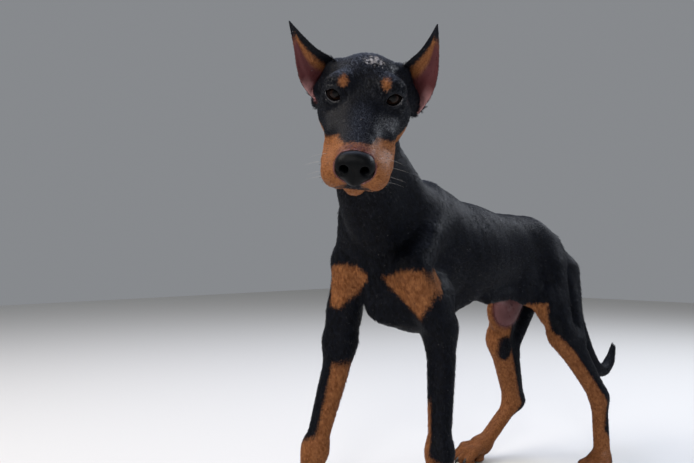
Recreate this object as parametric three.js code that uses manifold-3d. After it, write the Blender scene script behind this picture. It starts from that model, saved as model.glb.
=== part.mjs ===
// Doberman pinscher puppy of about fifteen weeks, standing with its head turned to its left, life size.
// Millimetres, +Z up. The dog faces -Y and its left side is +X; left and right in the names are its own.
// All places below are measured from the floor under the withers. At the end the whole model is moved along
// the floor, so that its origin is the middle of the bottom of its bounding box.
import * as THREE from 'three';
import { mergeVertices } from 'three/addons/utils/BufferGeometryUtils.js';
import Module from 'manifold-3d';

const wasm = await Module();
wasm.setup();

// Driving dimensions
const WITHERS = 419; // floor to the top of the shoulders
const BRISKET = 227; // floor to the underside of the chest
const CROUP = 380; // floor to the top of the hips
const CHEST_WIDTH = 104;
const WAIST_WIDTH = 72;
const HEAD_WIDTH = 88;
const EYE_SPACING = 51; // between the centres of the two eyeballs
const EYE_RADIUS = 11;
const EAR_THICKNESS = 2.6;
const GAP = 0.3; // between neighbouring solids
const GRID = { trunk: 16, neck: 14.5, limb: 11.5, paw: 8.2, head: 7.4, nose: 5.4 }; // facet sizes

// Places of the joints in this pose
const JOINT = {
  shoulder_l: [44, -80, 313],
  elbow_l: [41, -27, 240],
  wrist_l: [39, -25, 93],
  shoulder_r: [-45, -85, 314],
  elbow_r: [-72, -78, 220],
  wrist_r: [-96, -98, 85],
  hip_l: [25, 258, 306],
  stifle_l: [50, 250, 217],
  hock_l: [77, 317, 112],
  hip_r: [-25, 258, 304],
  stifle_r: [-52, 250, 197],
  hock_r: [-61, 306, 89],
};
// Each paw: its middle on the floor, and how far its toes turn out from straight ahead, in degrees
const PAW = {
  front_l: { at: [39, -50], turn: 6, wide: 1 },
  front_r: { at: [-103, -127], turn: -12, wide: 1 },
  hind_l: { at: [81, 299], turn: 6, wide: 0.94 },
  hind_r: { at: [-95, 246], turn: -27, wide: 0.94 },
};
const TAIL = [[0, 318, 344], [2, 348, 296], [7, 378, 235], [11, 405, 181], [14, 432, 144], [16, 462, 129],
  [17, 489, 141], [17, 507, 167]];

// The head's own frame: origin midway between the eyes, x to the dog's left, y to the back, z up
const HEAD_AT = [105, -226, 467];
const HEAD_TURN = new THREE.Matrix4().makeBasis(
  new THREE.Vector3(0.742, 0.664, -0.093),
  new THREE.Vector3(-0.561, 0.69, 0.457),
  new THREE.Vector3(0.368, -0.287, 0.884),
);
const headFrame = HEAD_TURN.clone().setPosition(...HEAD_AT);
const headInverse = headFrame.clone().invert();
const level = new THREE.Matrix4();

// Distances to the simple forms that the flesh is blended from; negative inside
const vec = ([x, y, z]) => new THREE.Vector3(x, y, z);

function taper(a, b, ra, rb) { // a round bar from a to b, its radius going from ra to rb
  const from = vec(a);
  const along = vec(b).sub(from);
  const lengthSq = along.lengthSq();
  return (p) => {
    const dx = p.x - from.x;
    const dy = p.y - from.y;
    const dz = p.z - from.z;
    const t = Math.min(1, Math.max(0, (dx * along.x + dy * along.y + dz * along.z) / lengthSq));
    const away = Math.hypot(dx - along.x * t, dy - along.y * t, dz - along.z * t);
    return away - (ra + (rb - ra) * t);
  };
}

function chain(points, radii) { // tapers end to end
  const links = points.slice(1).map((point, i) => taper(points[i], point, radii[i], radii[i + 1]));
  return (p) => links.reduce((near, link) => Math.min(near, link(p)), 1e3);
}

function lump(centre, radii, turn = [0, 0, 0]) { // an ellipsoid, turned by angles in degrees
  const angles = turn.map((angle) => angle * Math.PI / 180);
  const back = new THREE.Matrix4().makeRotationFromEuler(new THREE.Euler(...angles)).transpose();
  const middle = vec(centre);
  const q = new THREE.Vector3();
  return (p) => {
    q.copy(p).sub(middle).applyMatrix4(back);
    const k0 = Math.hypot(q.x / radii[0], q.y / radii[1], q.z / radii[2]);
    const k1 = Math.hypot(q.x / radii[0] ** 2, q.y / radii[1] ** 2, q.z / radii[2] ** 2);
    return k1 > 1e-9 ? k0 * (k0 - 1) / k1 : -Math.min(...radii);
  };
}

function meld(a, b, soft) { // the union of two distances, with a fillet
  const h = Math.max(soft - Math.abs(a - b), 0) / soft;
  return Math.min(a, b) - h * h * soft / 4;
}

const blend = (soft, ...forms) => (p) => forms.reduce((near, form) => meld(near, form(p), soft), 1e3);

function within(centre, radius, form) { // a form that is only looked at closely near the ball that holds it
  const middle = vec(centre);
  return (p) => {
    const away = p.distanceTo(middle) - radius;
    return away > 60 ? away : form(p);
  };
}

const mirrored = (make) => [make(1), make(-1)];

// Trunk: deep narrow chest, tucked waist, sloping croup
const SPINE = [[0, -4, WITHERS - 22], [0, 60, WITHERS - 45], [0, 150, CROUP - 26], [0, 232, CROUP - 33]];
const trunk = blend(
  22,
  lump([0, 72, 326], [CHEST_WIDTH / 2 - 2, 112, 62]), // ribs
  lump([0, -24, 312], [44, 60, 72], [-8, 0, 0]), // fore chest
  chain(SPINE, [18, 20, 26, 28]),
  lump([0, 186, 324], [WAIST_WIDTH / 2 + 2, 72, 54]), // belly
  lump([0, 252, 335], [40, 56, 40], [-20, 0, 0]),
  lump([0, 290, 318], [32, 34, 38]),
);
const keel = chain([[0, -56, 262], [0, 2, BRISKET + 17], [0, 58, BRISKET + 50]], [17, 17, 19]);
const frontOfChest = taper([-3, -78, 316], [-3, -76, 271], 23, 22);

// Neck: arched, from the shoulders up to the back of the skull
const neck = blend(
  20,
  chain([[0, 8, 360], [14, -64, 388], [29, -122, 436], [54, -160, 486]], [42, 34, 26, 24]), // nape
  chain([[-8, -62, 340], [14, -112, 382], [38, -152, 424], [60, -182, 452]], [38, 33, 27, 24]), // throat
  taper([-22, -72, 330], [24, -148, 400], 22, 20), // muscle down the right of the throat
  taper([-44, -86, 322], [-15, -107, 372], 21, 19), // from the right of the neck to the point of the shoulder
);

const joined = (a, b, share) => a.map((v, i) => v + (b[i] - v) * share);
const offset = ([x, y, z], dx, dy, dz) => [x + dx, y + dy, z + dz];

function foreleg(side) {
  const sign = side === 'l' ? 1 : -1;
  const shoulder = JOINT[`shoulder_${side}`];
  const elbow = JOINT[`elbow_${side}`];
  const wrist = JOINT[`wrist_${side}`];
  const paw = PAW[`front_${side}`].at;
  const blade = [sign * 30, -2, WITHERS - 46];
  const armpit = [sign * 40, -50, 346];
  const upperForearm = offset(joined(elbow, wrist, 0.25), 0, 4, 0);
  return blend(
    12,
    chain([blade, armpit, shoulder, elbow], [14, 20, 23, 19.5]), // shoulder blade and upper arm
    lump(offset(joined(elbow, shoulder, 0.4), sign * 6, 10, 0), [14, 26, 34], [-24, 0, 0]), // triceps
    taper(offset(elbow, 0, 9, 8), offset(elbow, 0, 3, -14), 8, 9), // point of the elbow
    chain([elbow, upperForearm, wrist, [paw[0], paw[1] + 18, 32]], [20.5, 17.5, 13.5, 14]),
    lump(offset(wrist, 0, 1, 2), [18, 16, 19]), // knobbly wrist of a puppy
  );
}

function hindleg(side) {
  const sign = side === 'l' ? 1 : -1;
  const hip = JOINT[`hip_${side}`];
  const stifle = JOINT[`stifle_${side}`];
  const hock = JOINT[`hock_${side}`];
  const paw = PAW[`hind_${side}`].at;
  const heading = THREE.MathUtils.degToRad(PAW[`hind_${side}`].turn);
  // A place in front of a joint, along the way that the leg faces
  const ahead = (from, reach, rise) => (
    offset(from, Math.sin(heading) * reach, -Math.cos(heading) * reach, rise));
  const seat = [sign * 24, 312, hip[2] - 6];
  const calf = joined(stifle, hock, 0.3);
  // The fold of skin from the belly to the front of the thigh
  const flankFold = [[22, 104, 270], [22, 162, 271], [23, 202, 262], [28, 228, 252]].map(
    ([x, y, z]) => [sign * x, y, z]);
  return blend(
    12,
    taper(hip, stifle, 29, 18),
    lump(offset(joined(hip, stifle, 0.62), 0, -19, 3), [17, 21, 30]), // front of the thigh
    chain(flankFold, [8, 7, 6, 8]),
    lump([sign * 27, 204, 279], [11, 30, 24]), // flank
    taper(seat, ahead(calf, -12, 18), 24, 15), // ham
    chain([stifle, ahead(calf, -8, 4), hock, ahead([...paw, 0], -22, 32)], [16.5, 16.5, 12, 12.5]),
    taper(ahead(stifle, 0, -14), ahead(hock, 7, 12), 14.5, 10), // shin
    chain([ahead(hock, -13, 4), ahead(calf, -17, 0)], [6, 8]), // Achilles tendon
    lump(ahead(hock, 0, 0), [11.5, 18, 15], [0, 0, PAW[`hind_${side}`].turn]),
  );
}

// A paw in its own frame, toes towards -y: four arched toes with pads, and a heel pad behind them
const TOE_X = [-18.5, -6.8, 6.8, 18.5];
const TOE_REACH = [-22, -29, -29, -22];
const PAD_PRESS = 1.2; // how far the pads flatten on the floor

function makePawShape() {
  const toes = TOE_X.map((x, i) => blend(
    3,
    taper([x * 0.72, 4, 25], [x, TOE_REACH[i] + 13, 22], 8.6, 8.4),
    taper([x, TOE_REACH[i] + 13, 21], [x * 1.08, TOE_REACH[i], 10.5], 8.2, 7.4),
    lump([x * 1.08, TOE_REACH[i] + 4, 5.4], [6.8, 9.5, 6.4]),
  ));
  const heel = blend(
    8,
    lump([0, 12, 27], [19, 20, 17]),
    lump([0, 4, 7], [17, 12, 8]),
  );
  return blend(3.2, ...toes, heel);
}

const pawShape = makePawShape();
const pawFrames = {};

function pawAt(name) {
  const { at, turn, wide } = PAW[name];
  const frame = new THREE.Matrix4().makeRotationZ(turn * Math.PI / 180);
  frame.scale(new THREE.Vector3(wide, wide, wide)).setPosition(at[0], at[1], -PAD_PRESS);
  pawFrames[name] = frame;
  const inverse = frame.clone().invert();
  const q = new THREE.Vector3();
  return (p) => pawShape(q.copy(p).applyMatrix4(inverse)) * wide;
}

const legs = {
  front_l: within(JOINT.elbow_l, 180, foreleg('l')),
  front_r: within(JOINT.elbow_r, 180, foreleg('r')),
  hind_l: within([50, 285, 180], 190, hindleg('l')),
  hind_r: within([-60, 275, 180], 190, hindleg('r')),
};
const paws = Object.fromEntries(Object.keys(legs).map((name) => (
  [name, within([...PAW[name].at, 20], 55, pawAt(name))])));

// Head, in its own frame
const EYE_AT = [EYE_SPACING / 2, 7.5, 3];
const EYE_OUTWARD = 14; // degrees that each eye looks out from straight ahead
const LID = 2; // thickness of the lids over the eyeball

const skull = blend(
  12,
  lump([0, 42, 0], [37.5, 47, 34]), // braincase
  ...mirrored((s) => lump([s * (HEAD_WIDTH / 2 - 19), 31, -24], [17, 29, 26])), // cheek muscle
  ...mirrored((s) => lump([s * 22, 9, 13], [13, 13, 8.5])), // brow
  ...mirrored((s) => taper([s * 30, 24, -16], [s * 21, -22, -27], 13, 11.5)), // cheekbone
  ...mirrored((s) => taper([s * 7, 4, -13], [s * 5.5, -70, -32], 18, 12.5)), // flat bridge of the muzzle
  taper([0, -4, -32], [0, -62, -42], 25, 19),
);
const lips = blend(
  8,
  ...mirrored((s) => lump([s * 14.5, -57, -46], [16.5, 26, 17], [0, 0, s * 6])),
  ...mirrored((s) => taper([s * 20, -40, -46], [s * 23, -12, -40], 13, 10.5)),
);
const earBase = blend(
  10,
  ...mirrored((s) => taper([s * 33, 54, 14], [s * 43, 52, -10], 9.5, 8.5)),
  ...mirrored((s) => taper([s * 43, 52, -8], [s * 49, 50, -22], 8, 4.5)), // tuft below the ear
);
const jaw = blend(
  8,
  taper([0, -59, -58], [0, -20, -56], 11.5, 16),
  taper([0, -20, -56], [0, 28, -48], 17, 25),
);
const eyeAt = (s) => [s * EYE_AT[0], EYE_AT[1], EYE_AT[2]];
const orbit = (s) => taper(eyeAt(s), offset(eyeAt(s), 0, 1, 0), EYE_RADIUS + LID, EYE_RADIUS);
const orbits = blend(1, ...mirrored(orbit));
const noseForm = blend(
  4,
  lump([0, -80, -30.5], [15.5, 9.5, 10.5]),
  ...mirrored((s) => lump([s * 9, -79.5, -35.5], [8, 10, 8.5])), // wings of the nostrils
  lump([0, -80, -42.5], [7, 8, 7.5]),
);
const upperFace = (p) => meld(meld(meld(skull(p), earBase(p), 10), lips(p), 7), orbits(p), 5);
const face = (p) => meld(upperFace(p), jaw(p), 3);
const headShape = within([0, 0, -16], 112, face);

const inHead = new THREE.Vector3();
const headHere = (p) => headShape(inHead.copy(p).applyMatrix4(headInverse));

const torso = (p) => meld(meld(trunk(p), keel(p), 24), frontOfChest(p), 22);

function flesh(p) {
  let near = meld(torso(p), neck(p), 26);
  near = meld(near, headHere(p), 16);
  for (const [name, leg] of Object.entries(legs)) {
    near = meld(near, meld(leg(p), paws[name](p), 8), name.startsWith('front') ? 16 : 20);
  }
  return near;
}

// Surface of a blended form inside a box: one facet corner for each piece of it in each cell of a grid
const CORNER = Array.from({ length: 8 }, (_, i) => [i & 1, (i >> 1) & 1, i >> 2]);
const EDGES = [];
for (let axis = 0; axis < 3; axis += 1) {
  for (let i = 0; i < 8; i += 1) {
    if (!(i & (1 << axis))) EDGES.push([i, i | (1 << axis), axis]);
  }
}
const edgeBetween = (a, b) => EDGES.findIndex(([i, j]) => (i === a && j === b) || (i === b && j === a));
const FACES = [0, 1, 2].flatMap((axis) => [0, 1].map((side) => {
  const b = 1 << ((axis + 1) % 3);
  const c = 1 << ((axis + 2) % 3);
  const first = side << axis;
  const ring = [first, first | b, first | b | c, first | c];
  return { ring, edges: ring.map((corner, i) => edgeBetween(corner, ring[(i + 1) % 4])) };
}));

function surface(form, low, high, step) {
  const count = low.map((v, i) => Math.ceil((high[i] - v) / step) + 1);
  const stride = [1, count[0], count[0] * count[1]];
  const value = new Float32Array(count[0] * count[1] * count[2]);
  const p = new THREE.Vector3();
  const place = (x, y, z) => p.set(low[0] + x * step, low[1] + y * step, low[2] + z * step);
  const cells = [];
  for (let z = 0; z < count[2]; z += 1) {
    for (let y = 0; y < count[1]; y += 1) {
      for (let x = 0; x < count[0]; x += 1) {
        const rim = !x || !y || !z || x === count[0] - 1 || y === count[1] - 1 || z === count[2] - 1;
        const here = form(place(x, y, z));
        value[x + y * stride[1] + z * stride[2]] = rim ? Math.max(here, step * 0.3) : here || 1e-4;
        if (x && y && z) cells.push([x - 1, y - 1, z - 1]);
      }
    }
  }
  const points = [];
  const cornerOf = new Map(); // cell and edge to the facet corner there
  for (const [x, y, z] of cells) {
    const base = x + y * stride[1] + z * stride[2];
    const v = CORNER.map(([i, j, k]) => value[base + i + j * stride[1] + k * stride[2]]);
    const inside = v.map((d) => d < 0);
    if (inside.every(Boolean) || !inside.some(Boolean)) continue;
    const group = EDGES.map((_, i) => i);
    const root = (i) => (group[i] === i ? i : root(group[i]));
    const crosses = EDGES.map(([a, b]) => inside[a] !== inside[b]);
    for (const { ring, edges } of FACES) {
      const crossing = edges.filter((edge) => crosses[edge]);
      if (crossing.length === 2) group[root(crossing[0])] = root(crossing[1]);
      if (crossing.length !== 4) continue;
      ring.forEach((corner, i) => {
        if (inside[corner]) group[root(edges[(i + 3) % 4])] = root(edges[i]);
      });
    }
    const sums = new Map();
    EDGES.forEach(([a, b], i) => {
      if (!crosses[i]) return;
      const t = v[a] / (v[a] - v[b]);
      const sum = sums.get(root(i)) ?? { total: [0, 0, 0], n: 0, edges: [] };
      sum.total = sum.total.map((s, k) => s + CORNER[a][k] + (CORNER[b][k] - CORNER[a][k]) * t);
      sum.n += 1;
      sum.edges.push(i);
      sums.set(root(i), sum);
    });
    for (const { total, n, edges } of sums.values()) {
      place(x + total[0] / n, y + total[1] / n, z + total[2] / n);
      for (const edge of edges) cornerOf.set(base * 12 + edge, points.length / 3);
      points.push(p.x, p.y, p.z);
    }
  }
  settle(points, form, step, low, high);
  const triangles = [];
  const length = (a, b) => Math.hypot(...[0, 1, 2].map((k) => points[a * 3 + k] - points[b * 3 + k]));
  for (let axis = 0; axis < 3; axis += 1) {
    const b = (axis + 1) % 3;
    const c = (axis + 2) % 3;
    for (const [x, y, z] of cells) {
      const at = [x, y, z];
      if (!at[b] || !at[c]) continue;
      const base = x + y * stride[1] + z * stride[2];
      const here = value[base] < 0;
      if (here === value[base + stride[axis]] < 0) continue;
      const quad = [[1, 1], [0, 1], [0, 0], [1, 0]].map(([i, j]) => {
        const cell = base - i * stride[b] - j * stride[c];
        const from = (i << b) | (j << c);
        return cornerOf.get(cell * 12 + edgeBetween(from, from | (1 << axis)));
      });
      if (!here) quad.reverse();
      const [q0, q1, q2, q3] = quad;
      if (length(q0, q2) < length(q1, q3)) triangles.push(q0, q1, q2, q0, q2, q3);
      else triangles.push(q1, q2, q3, q1, q3, q0);
    }
  }
  return solidOf(points, triangles);
}

// The way that leads out of a form, as long as its distance grows per millimetre
function slopeAt(form, p) {
  const beside = (k, by) => form(p.clone().setComponent(k, p.getComponent(k) + by));
  return new THREE.Vector3(...[0, 1, 2].map((k) => beside(k, 0.5) - beside(k, -0.5)));
}

function settle(points, form, step, low, high) { // moves facet corners onto the form itself
  const most = step * 0.35;
  for (let round = 0; round < 2; round += 1) {
    for (let i = 0; i < points.length; i += 3) {
      const p = new THREE.Vector3().fromArray(points, i);
      const onRim = [0, 1, 2].some((k) => points[i + k] < low[k] + step || points[i + k] > high[k] - step);
      if (onRim) continue;
      const slope = slopeAt(form, p);
      const move = THREE.MathUtils.clamp(-form(p) / Math.max(slope.lengthSq(), 0.25), -most, most);
      p.addScaledVector(slope, move).toArray(points, i);
    }
  }
}

function solidOf(points, triangles) {
  return new wasm.Manifold(new wasm.Mesh({
    numProp: 3,
    vertProperties: new Float32Array(points),
    triVerts: new Uint32Array(triangles),
  }));
}

function solidFrom(geometry) { // a three.js geometry as a solid
  const bare = geometry.clone();
  bare.deleteAttribute('normal');
  bare.deleteAttribute('uv');
  const merged = mergeVertices(bare, 1e-4);
  return solidOf(merged.attributes.position.array, merged.index.array);
}

function largest(solid) {
  const pieces = solid.decompose();
  pieces.sort((a, b) => b.volume() - a.volume());
  return pieces[0];
}

// Cutting blocks: everything on the side of a plane that its normal points to, less half a gap
const REACH = 1500;

function beyond(point, normal) {
  const direction = vec(normal).normalize();
  const cube = new THREE.BoxGeometry(REACH, REACH, REACH);
  cube.applyQuaternion(new THREE.Quaternion().setFromUnitVectors(new THREE.Vector3(0, 0, 1), direction));
  const centre = vec(point).addScaledVector(direction, (REACH + GAP) / 2);
  return solidFrom(cube.translate(...centre));
}

function block(low, high, turn, grow) { // a box, turned about the y axis through its middle
  const box = new THREE.BoxGeometry(...low.map((v, i) => high[i] - v + 2 * grow));
  box.rotateY(THREE.MathUtils.degToRad(turn));
  return solidFrom(box.translate(...joined(low, high, 0.5)));
}

const opposite = (normal) => normal.map((v) => -v);

// The finished model
const doberman = new THREE.Group();
const LOOKS = {
  black_coat: { color: 0x17171c, roughness: 0.42, metalness: 0 },
  tan_coat: { color: 0xb06a3c, roughness: 0.55, metalness: 0 },
  ear_skin: { color: 0x7d4a48, roughness: 0.6, metalness: 0 },
  nose_leather: { color: 0x101014, roughness: 0.35, metalness: 0 },
  eye: { color: 0x24140d, roughness: 0.05, metalness: 0 },
  claw: { color: 0x1a1614, roughness: 0.4, metalness: 0 },
};

function add(name, solid, look, frame = level) {
  const mesh = largest(solid).simplify(0.12).getMesh();
  const geometry = new THREE.BufferGeometry();
  const points = [];
  for (let i = 0; i < mesh.numVert; i += 1) {
    const first = i * mesh.numProp;
    points.push(...mesh.vertProperties.slice(first, first + 3));
  }
  geometry.setAttribute('position', new THREE.Float32BufferAttribute(points, 3));
  geometry.setIndex(Array.from(mesh.triVerts));
  geometry.computeVertexNormals();
  const node = new THREE.Mesh(geometry, new THREE.MeshStandardMaterial(LOOKS[look]));
  node.name = name;
  node.applyMatrix4(frame);
  doberman.add(node);
}

// Where the parts of the body meet
const CUT = {
  nape: { at: [0, 74, 2], facing: [0, 0.857, -0.514] }, // in the head's frame
  withers: { at: [0, -52, 370], facing: [0.12, -0.66, 0.74] },
  ribs: { at: [0, 150, 0], facing: [0, 1, 0] },
  hips: { at: [0, 214, 0], facing: [0, 1, 0] },
  elbow: { at: [0, 0, BRISKET - 4], facing: [0, 0, -1] },
};

function between(solid, ...cuts) {
  return cuts.reduce((rest, [cut, side = 1]) => (
    rest.intersect(beyond(cut.at, side > 0 ? cut.facing : opposite(cut.facing)))), solid);
}

// A closed tube of round sections along a curve
function tube(points, radii, sides, steps, grow = 0) {
  const curve = new THREE.CatmullRomCurve3(points.map(vec));
  const { normals, binormals } = curve.computeFrenetFrames(steps);
  const positions = [];
  const faces = [];
  const radiusAt = (t) => {
    const x = t * (radii.length - 1);
    const i = Math.min(Math.floor(x), radii.length - 2);
    return THREE.MathUtils.lerp(radii[i], radii[i + 1], x - i) + grow;
  };
  for (let i = 0; i <= steps; i += 1) {
    const centre = curve.getPointAt(i / steps);
    for (let j = 0; j < sides; j += 1) {
      const angle = (j / sides) * 2 * Math.PI;
      const spoke = normals[i].clone().multiplyScalar(Math.cos(angle));
      spoke.addScaledVector(binormals[i], Math.sin(angle));
      positions.push(...centre.clone().addScaledVector(spoke, radiusAt(i / steps)).toArray());
      if (i === steps) continue;
      const here = i * sides + j;
      const next = i * sides + (j + 1) % sides;
      faces.push(here, next, next + sides, here, next + sides, here + sides);
    }
  }
  for (const [end, t] of [[0, 0], [steps, 1]]) {
    const out = curve.getTangentAt(t).multiplyScalar((t ? 1 : -1) * grow);
    positions.push(...curve.getPointAt(t).add(out).toArray());
    const middle = positions.length / 3 - 1;
    for (let j = 0; j < sides; j += 1) {
      const here = end * sides + j;
      const next = end * sides + (j + 1) % sides;
      faces.push(...(t ? [middle, here, next] : [middle, next, here]));
    }
  }
  return outward(positions, faces);
}

function outward(positions, faces) { // the solid of a closed mesh whichever way its faces were listed
  const solid = solidOf(positions, faces);
  return solid.volume() > 0 ? solid : solidOf(positions, faces.reverse());
}

function ball(centre, radii, frame = level) { // an ellipsoid of a few facets
  const geometry = new THREE.SphereGeometry(1, 8, 6).scale(...radii).applyMatrix4(frame);
  return solidFrom(geometry.translate(...centre));
}

// Tail: whole, undocked, hanging behind the thighs with its tip lifted
const TAIL_RADII = [15, 14, 12.5, 11.5, 10.5, 9.5, 8, 4];
const tailSolid = tube(TAIL, TAIL_RADII, 10, 20);
const tailSocket = tube(TAIL, TAIL_RADII, 10, 20, GAP);
const TAIL_CUTS = [{ at: TAIL[3], facing: [0.06, 0.5, -0.86] }, { at: TAIL[5], facing: [0.04, 0.95, 0] }];
add('tail_root', between(tailSolid, [TAIL_CUTS[0], -1], [TAIL_CUTS[1], -1]), 'black_coat');
add('tail_middle', between(tailSolid, [TAIL_CUTS[0]], [TAIL_CUTS[1], -1]), 'black_coat');
add('tail_tip', between(tailSolid, [TAIL_CUTS[1]]), 'black_coat');

// Trunk in three lengths, less the shoulders and thighs that lie on its sides
const trunkSolid = surface(flesh, [-112, -150, 186], [112, 380, 450], GRID.trunk);
// A box on one side of the body
function sideBlock(s, [near, far], [front, back], [low, high], turn, grow) {
  const across = [s * near, s * far].sort((a, b) => a - b);
  return block([across[0], front, low], [across[1], back, high], s * turn, grow);
}
const bladeBlock = (s, grow) => sideBlock(s, [34, 150], [-140, 40], [BRISKET - 40, 390], -8, grow);
const thighBlock = (s, grow) => sideBlock(s, [20, 190], [188, 420], [60, 346], 12, grow);
const stifleCut = (side) => ({ at: JOINT[`stifle_${side}`], facing: [0, 0.33, -0.94] });
let hull = between(trunkSolid, [CUT.elbow, -1]);
for (const s of [1, -1]) hull = hull.subtract(bladeBlock(s, GAP)).subtract(thighBlock(s, GAP));
add('chest', between(hull, [CUT.withers, -1], [CUT.ribs, -1]), 'black_coat');
add('loin', between(hull, [CUT.ribs], [CUT.hips, -1]), 'black_coat');
add('rump', between(hull, [CUT.hips]).subtract(tailSocket), 'black_coat');
for (const [side, s] of [['l', 1], ['r', -1]]) {
  const shoulder = between(trunkSolid, [CUT.elbow, -1], [CUT.withers, -1]).intersect(bladeBlock(s, 0));
  const thigh = between(trunkSolid, [stifleCut(side), -1]).intersect(thighBlock(s, 0));
  add(`shoulder_${side}`, shoulder, 'black_coat');
  add(`thigh_${side}`, thigh.subtract(tailSocket), 'black_coat');
}

// Neck, from the withers to the back of the skull
const inBody = (cut) => ({
  at: vec(cut.at).applyMatrix4(headFrame).toArray(),
  facing: vec(cut.facing).applyMatrix4(HEAD_TURN).toArray(),
});
const neckSolid = surface(flesh, [-84, -256, 300], [136, 70, 576], GRID.neck);
add('neck', between(neckSolid, [CUT.withers], [inBody(CUT.nape)]), 'black_coat');

// Legs below the trunk, then the paws with a socket for each claw
const PAW_TOP = 37;
const ankle = { at: [0, 0, PAW_TOP], facing: [0, 0, -1] };
const ground = { at: [0, 0, -GAP / 2], facing: [0, 0, 1] };
const CLAW = [[0, 4, 4.5], [0, -3, 3], [0, -8.5, -1.5], [0, -11, -6.2]]; // from the end of a toe
const CLAW_RADII = [3.6, 3.2, 2.2, 0.7];

function limb(joints, low, high) { // the flesh around a leg between two heights
  const margin = 44;
  const least = [0, 1].map((k) => Math.min(...joints.map((at) => at[k])) - margin);
  const most = [0, 1].map((k) => Math.max(...joints.map((at) => at[k])) + margin);
  return surface(flesh, [...least, low], [...most, high], GRID.limb);
}

function makePaw(name) {
  const [x, y] = PAW[name].at;
  let paw = surface(flesh, [x - 50, y - 55, -9], [x + 50, y + 55, PAW_TOP + 8], GRID.paw);
  paw = between(paw, [ankle], [ground]);
  const shift = pawFrames[name].elements;
  TOE_X.forEach((toe, i) => {
    const root = [toe * 1.08, TOE_REACH[i], 9];
    const nail = (grow) => tube(CLAW.map((at) => offset(root, ...at)), CLAW_RADII, 5, 3, grow);
    paw = paw.subtract(nail(GAP).transform(shift));
    add(`claw_${name}_${i + 1}`, nail(0).transform(shift), 'claw');
  });
  add(`paw_${name}`, paw, 'tan_coat');
}

for (const side of ['l', 'r']) {
  const fore = limb([JOINT[`elbow_${side}`], JOINT[`wrist_${side}`], [...PAW[`front_${side}`].at, 0]],
    PAW_TOP - 12, BRISKET + 12);
  const wristCut = { at: joined(JOINT[`wrist_${side}`], [0, 0, 0], 0.14), facing: [0, 0, -1] };
  add(`forearm_${side}`, between(fore, [CUT.elbow], [wristCut, -1]), 'tan_coat');
  add(`pastern_${side}`, between(fore, [wristCut], [ankle, -1]), 'tan_coat');

  const stifle = JOINT[`stifle_${side}`];
  const hock = JOINT[`hock_${side}`];
  const hindPaw = [...PAW[`hind_${side}`].at, 34];
  const hind = limb([stifle, hock, hindPaw], PAW_TOP - 12, stifle[2] + 60);
  const hockCut = { at: joined(hock, hindPaw, 0.16), facing: hindPaw.map((v, i) => v - hock[i]) };
  add(`shank_${side}`, between(hind, [stifleCut(side)], [hockCut, -1]), 'tan_coat');
  add(`hind_foot_${side}`, between(hind, [hockCut], [ankle, -1]), 'tan_coat');
}
Object.keys(PAW).forEach(makePaw);

// Ears, cropped to points, each a curved leaf between its front and its outer edge, its root let into the
// head
const EARS = {
  l: {
    front: [[34, 47, 24], [40, 47, 31], [48, 50, 39], [55.5, 54, 51], [62, 60, 64]],
    outer: [[58, 45, -13], [64.5, 46, 1], [67.5, 50, 19], [66, 54, 41], [62.5, 60, 64]],
  },
  r: {
    front: [[-33, 47, 25], [-43, 47, 30], [-53, 50, 35], [-66, 54, 45], [-79.5, 60, 56]],
    outer: [[-55, 45, -11], [-63.5, 46, 0], [-69, 50, 14], [-73.5, 54, 34], [-80, 60, 56]],
  },
};

function ear(side, grow) {
  const edgeOf = (name) => new THREE.CatmullRomCurve3(EARS[side][name].map(vec));
  const [front, outer] = [edgeOf('front'), edgeOf('outer')];
  const rows = 7;
  const across = 6;
  const shells = [[], []];
  for (let i = -1; i <= rows; i += 1) {
    const t = Math.max(i, 0) / rows;
    const a = front.getPoint(Math.min(t, 0.985));
    const b = outer.getPoint(Math.min(t, 0.985));
    const middle = a.clone().add(b).multiplyScalar(0.5);
    const half = b.clone().sub(a).multiplyScalar(0.5);
    const rise = front.getTangent(t).add(outer.getTangent(t)).normalize();
    const back = new THREE.Vector3().crossVectors(half, rise).normalize();
    if (back.y < 0) back.negate();
    if (i < 0) middle.addScaledVector(rise, -9); // the root, let into the head
    const bend = THREE.MathUtils.degToRad(THREE.MathUtils.lerp(84, 18, Math.sqrt(t)));
    const thick = THREE.MathUtils.lerp(EAR_THICKNESS, EAR_THICKNESS * 0.6, t) / 2 + grow;
    const width = half.length() + grow;
    for (let j = 0; j <= across; j += 1) {
      const angle = bend * (2 * j / across - 1);
      const radius = width / Math.sin(bend);
      const sink = radius * (Math.cos(angle) - Math.cos(bend));
      [1, -1].forEach((face, k) => {
        const aside = (radius + face * thick) * Math.sin(angle);
        const q = middle.clone().addScaledVector(half.clone().normalize(), aside);
        q.addScaledVector(back, sink + face * thick * Math.cos(angle));
        shells[k].push(q);
      });
    }
  }
  const row = across + 1;
  const total = shells[0].length;
  const faces = [];
  const quad = (p0, p1, p2, p3) => faces.push(p0, p1, p2, p0, p2, p3);
  for (let i = 0; i <= rows; i += 1) {
    for (let j = 0; j < across; j += 1) {
      const at = i * row + j;
      quad(at, at + 1, at + row + 1, at + row);
      quad(total + at, total + at + row, total + at + row + 1, total + at + 1);
    }
    const first = i * row;
    const last = first + across;
    quad(first, first + row, total + first + row, total + first);
    quad(last, total + last, total + last + row, last + row);
  }
  for (let j = 0; j < across; j += 1) {
    quad(j, total + j, total + j + 1, j + 1);
    const end = (rows + 1) * row + j;
    quad(end, end + 1, total + end + 1, total + end);
  }
  return outward(shells.flat().flatMap((q) => q.toArray()), faces);
}

// Head, in its own frame, with its hollows: eyes under their lids, nostrils, the line of the mouth
const headInside = (p) => meld(headShape(p), inFront(p), 12);
const neckPoint = new THREE.Vector3();
function inFront(p) { // the neck, seen from the head's frame
  return neck(neckPoint.copy(p).applyMatrix4(headFrame));
}

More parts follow.
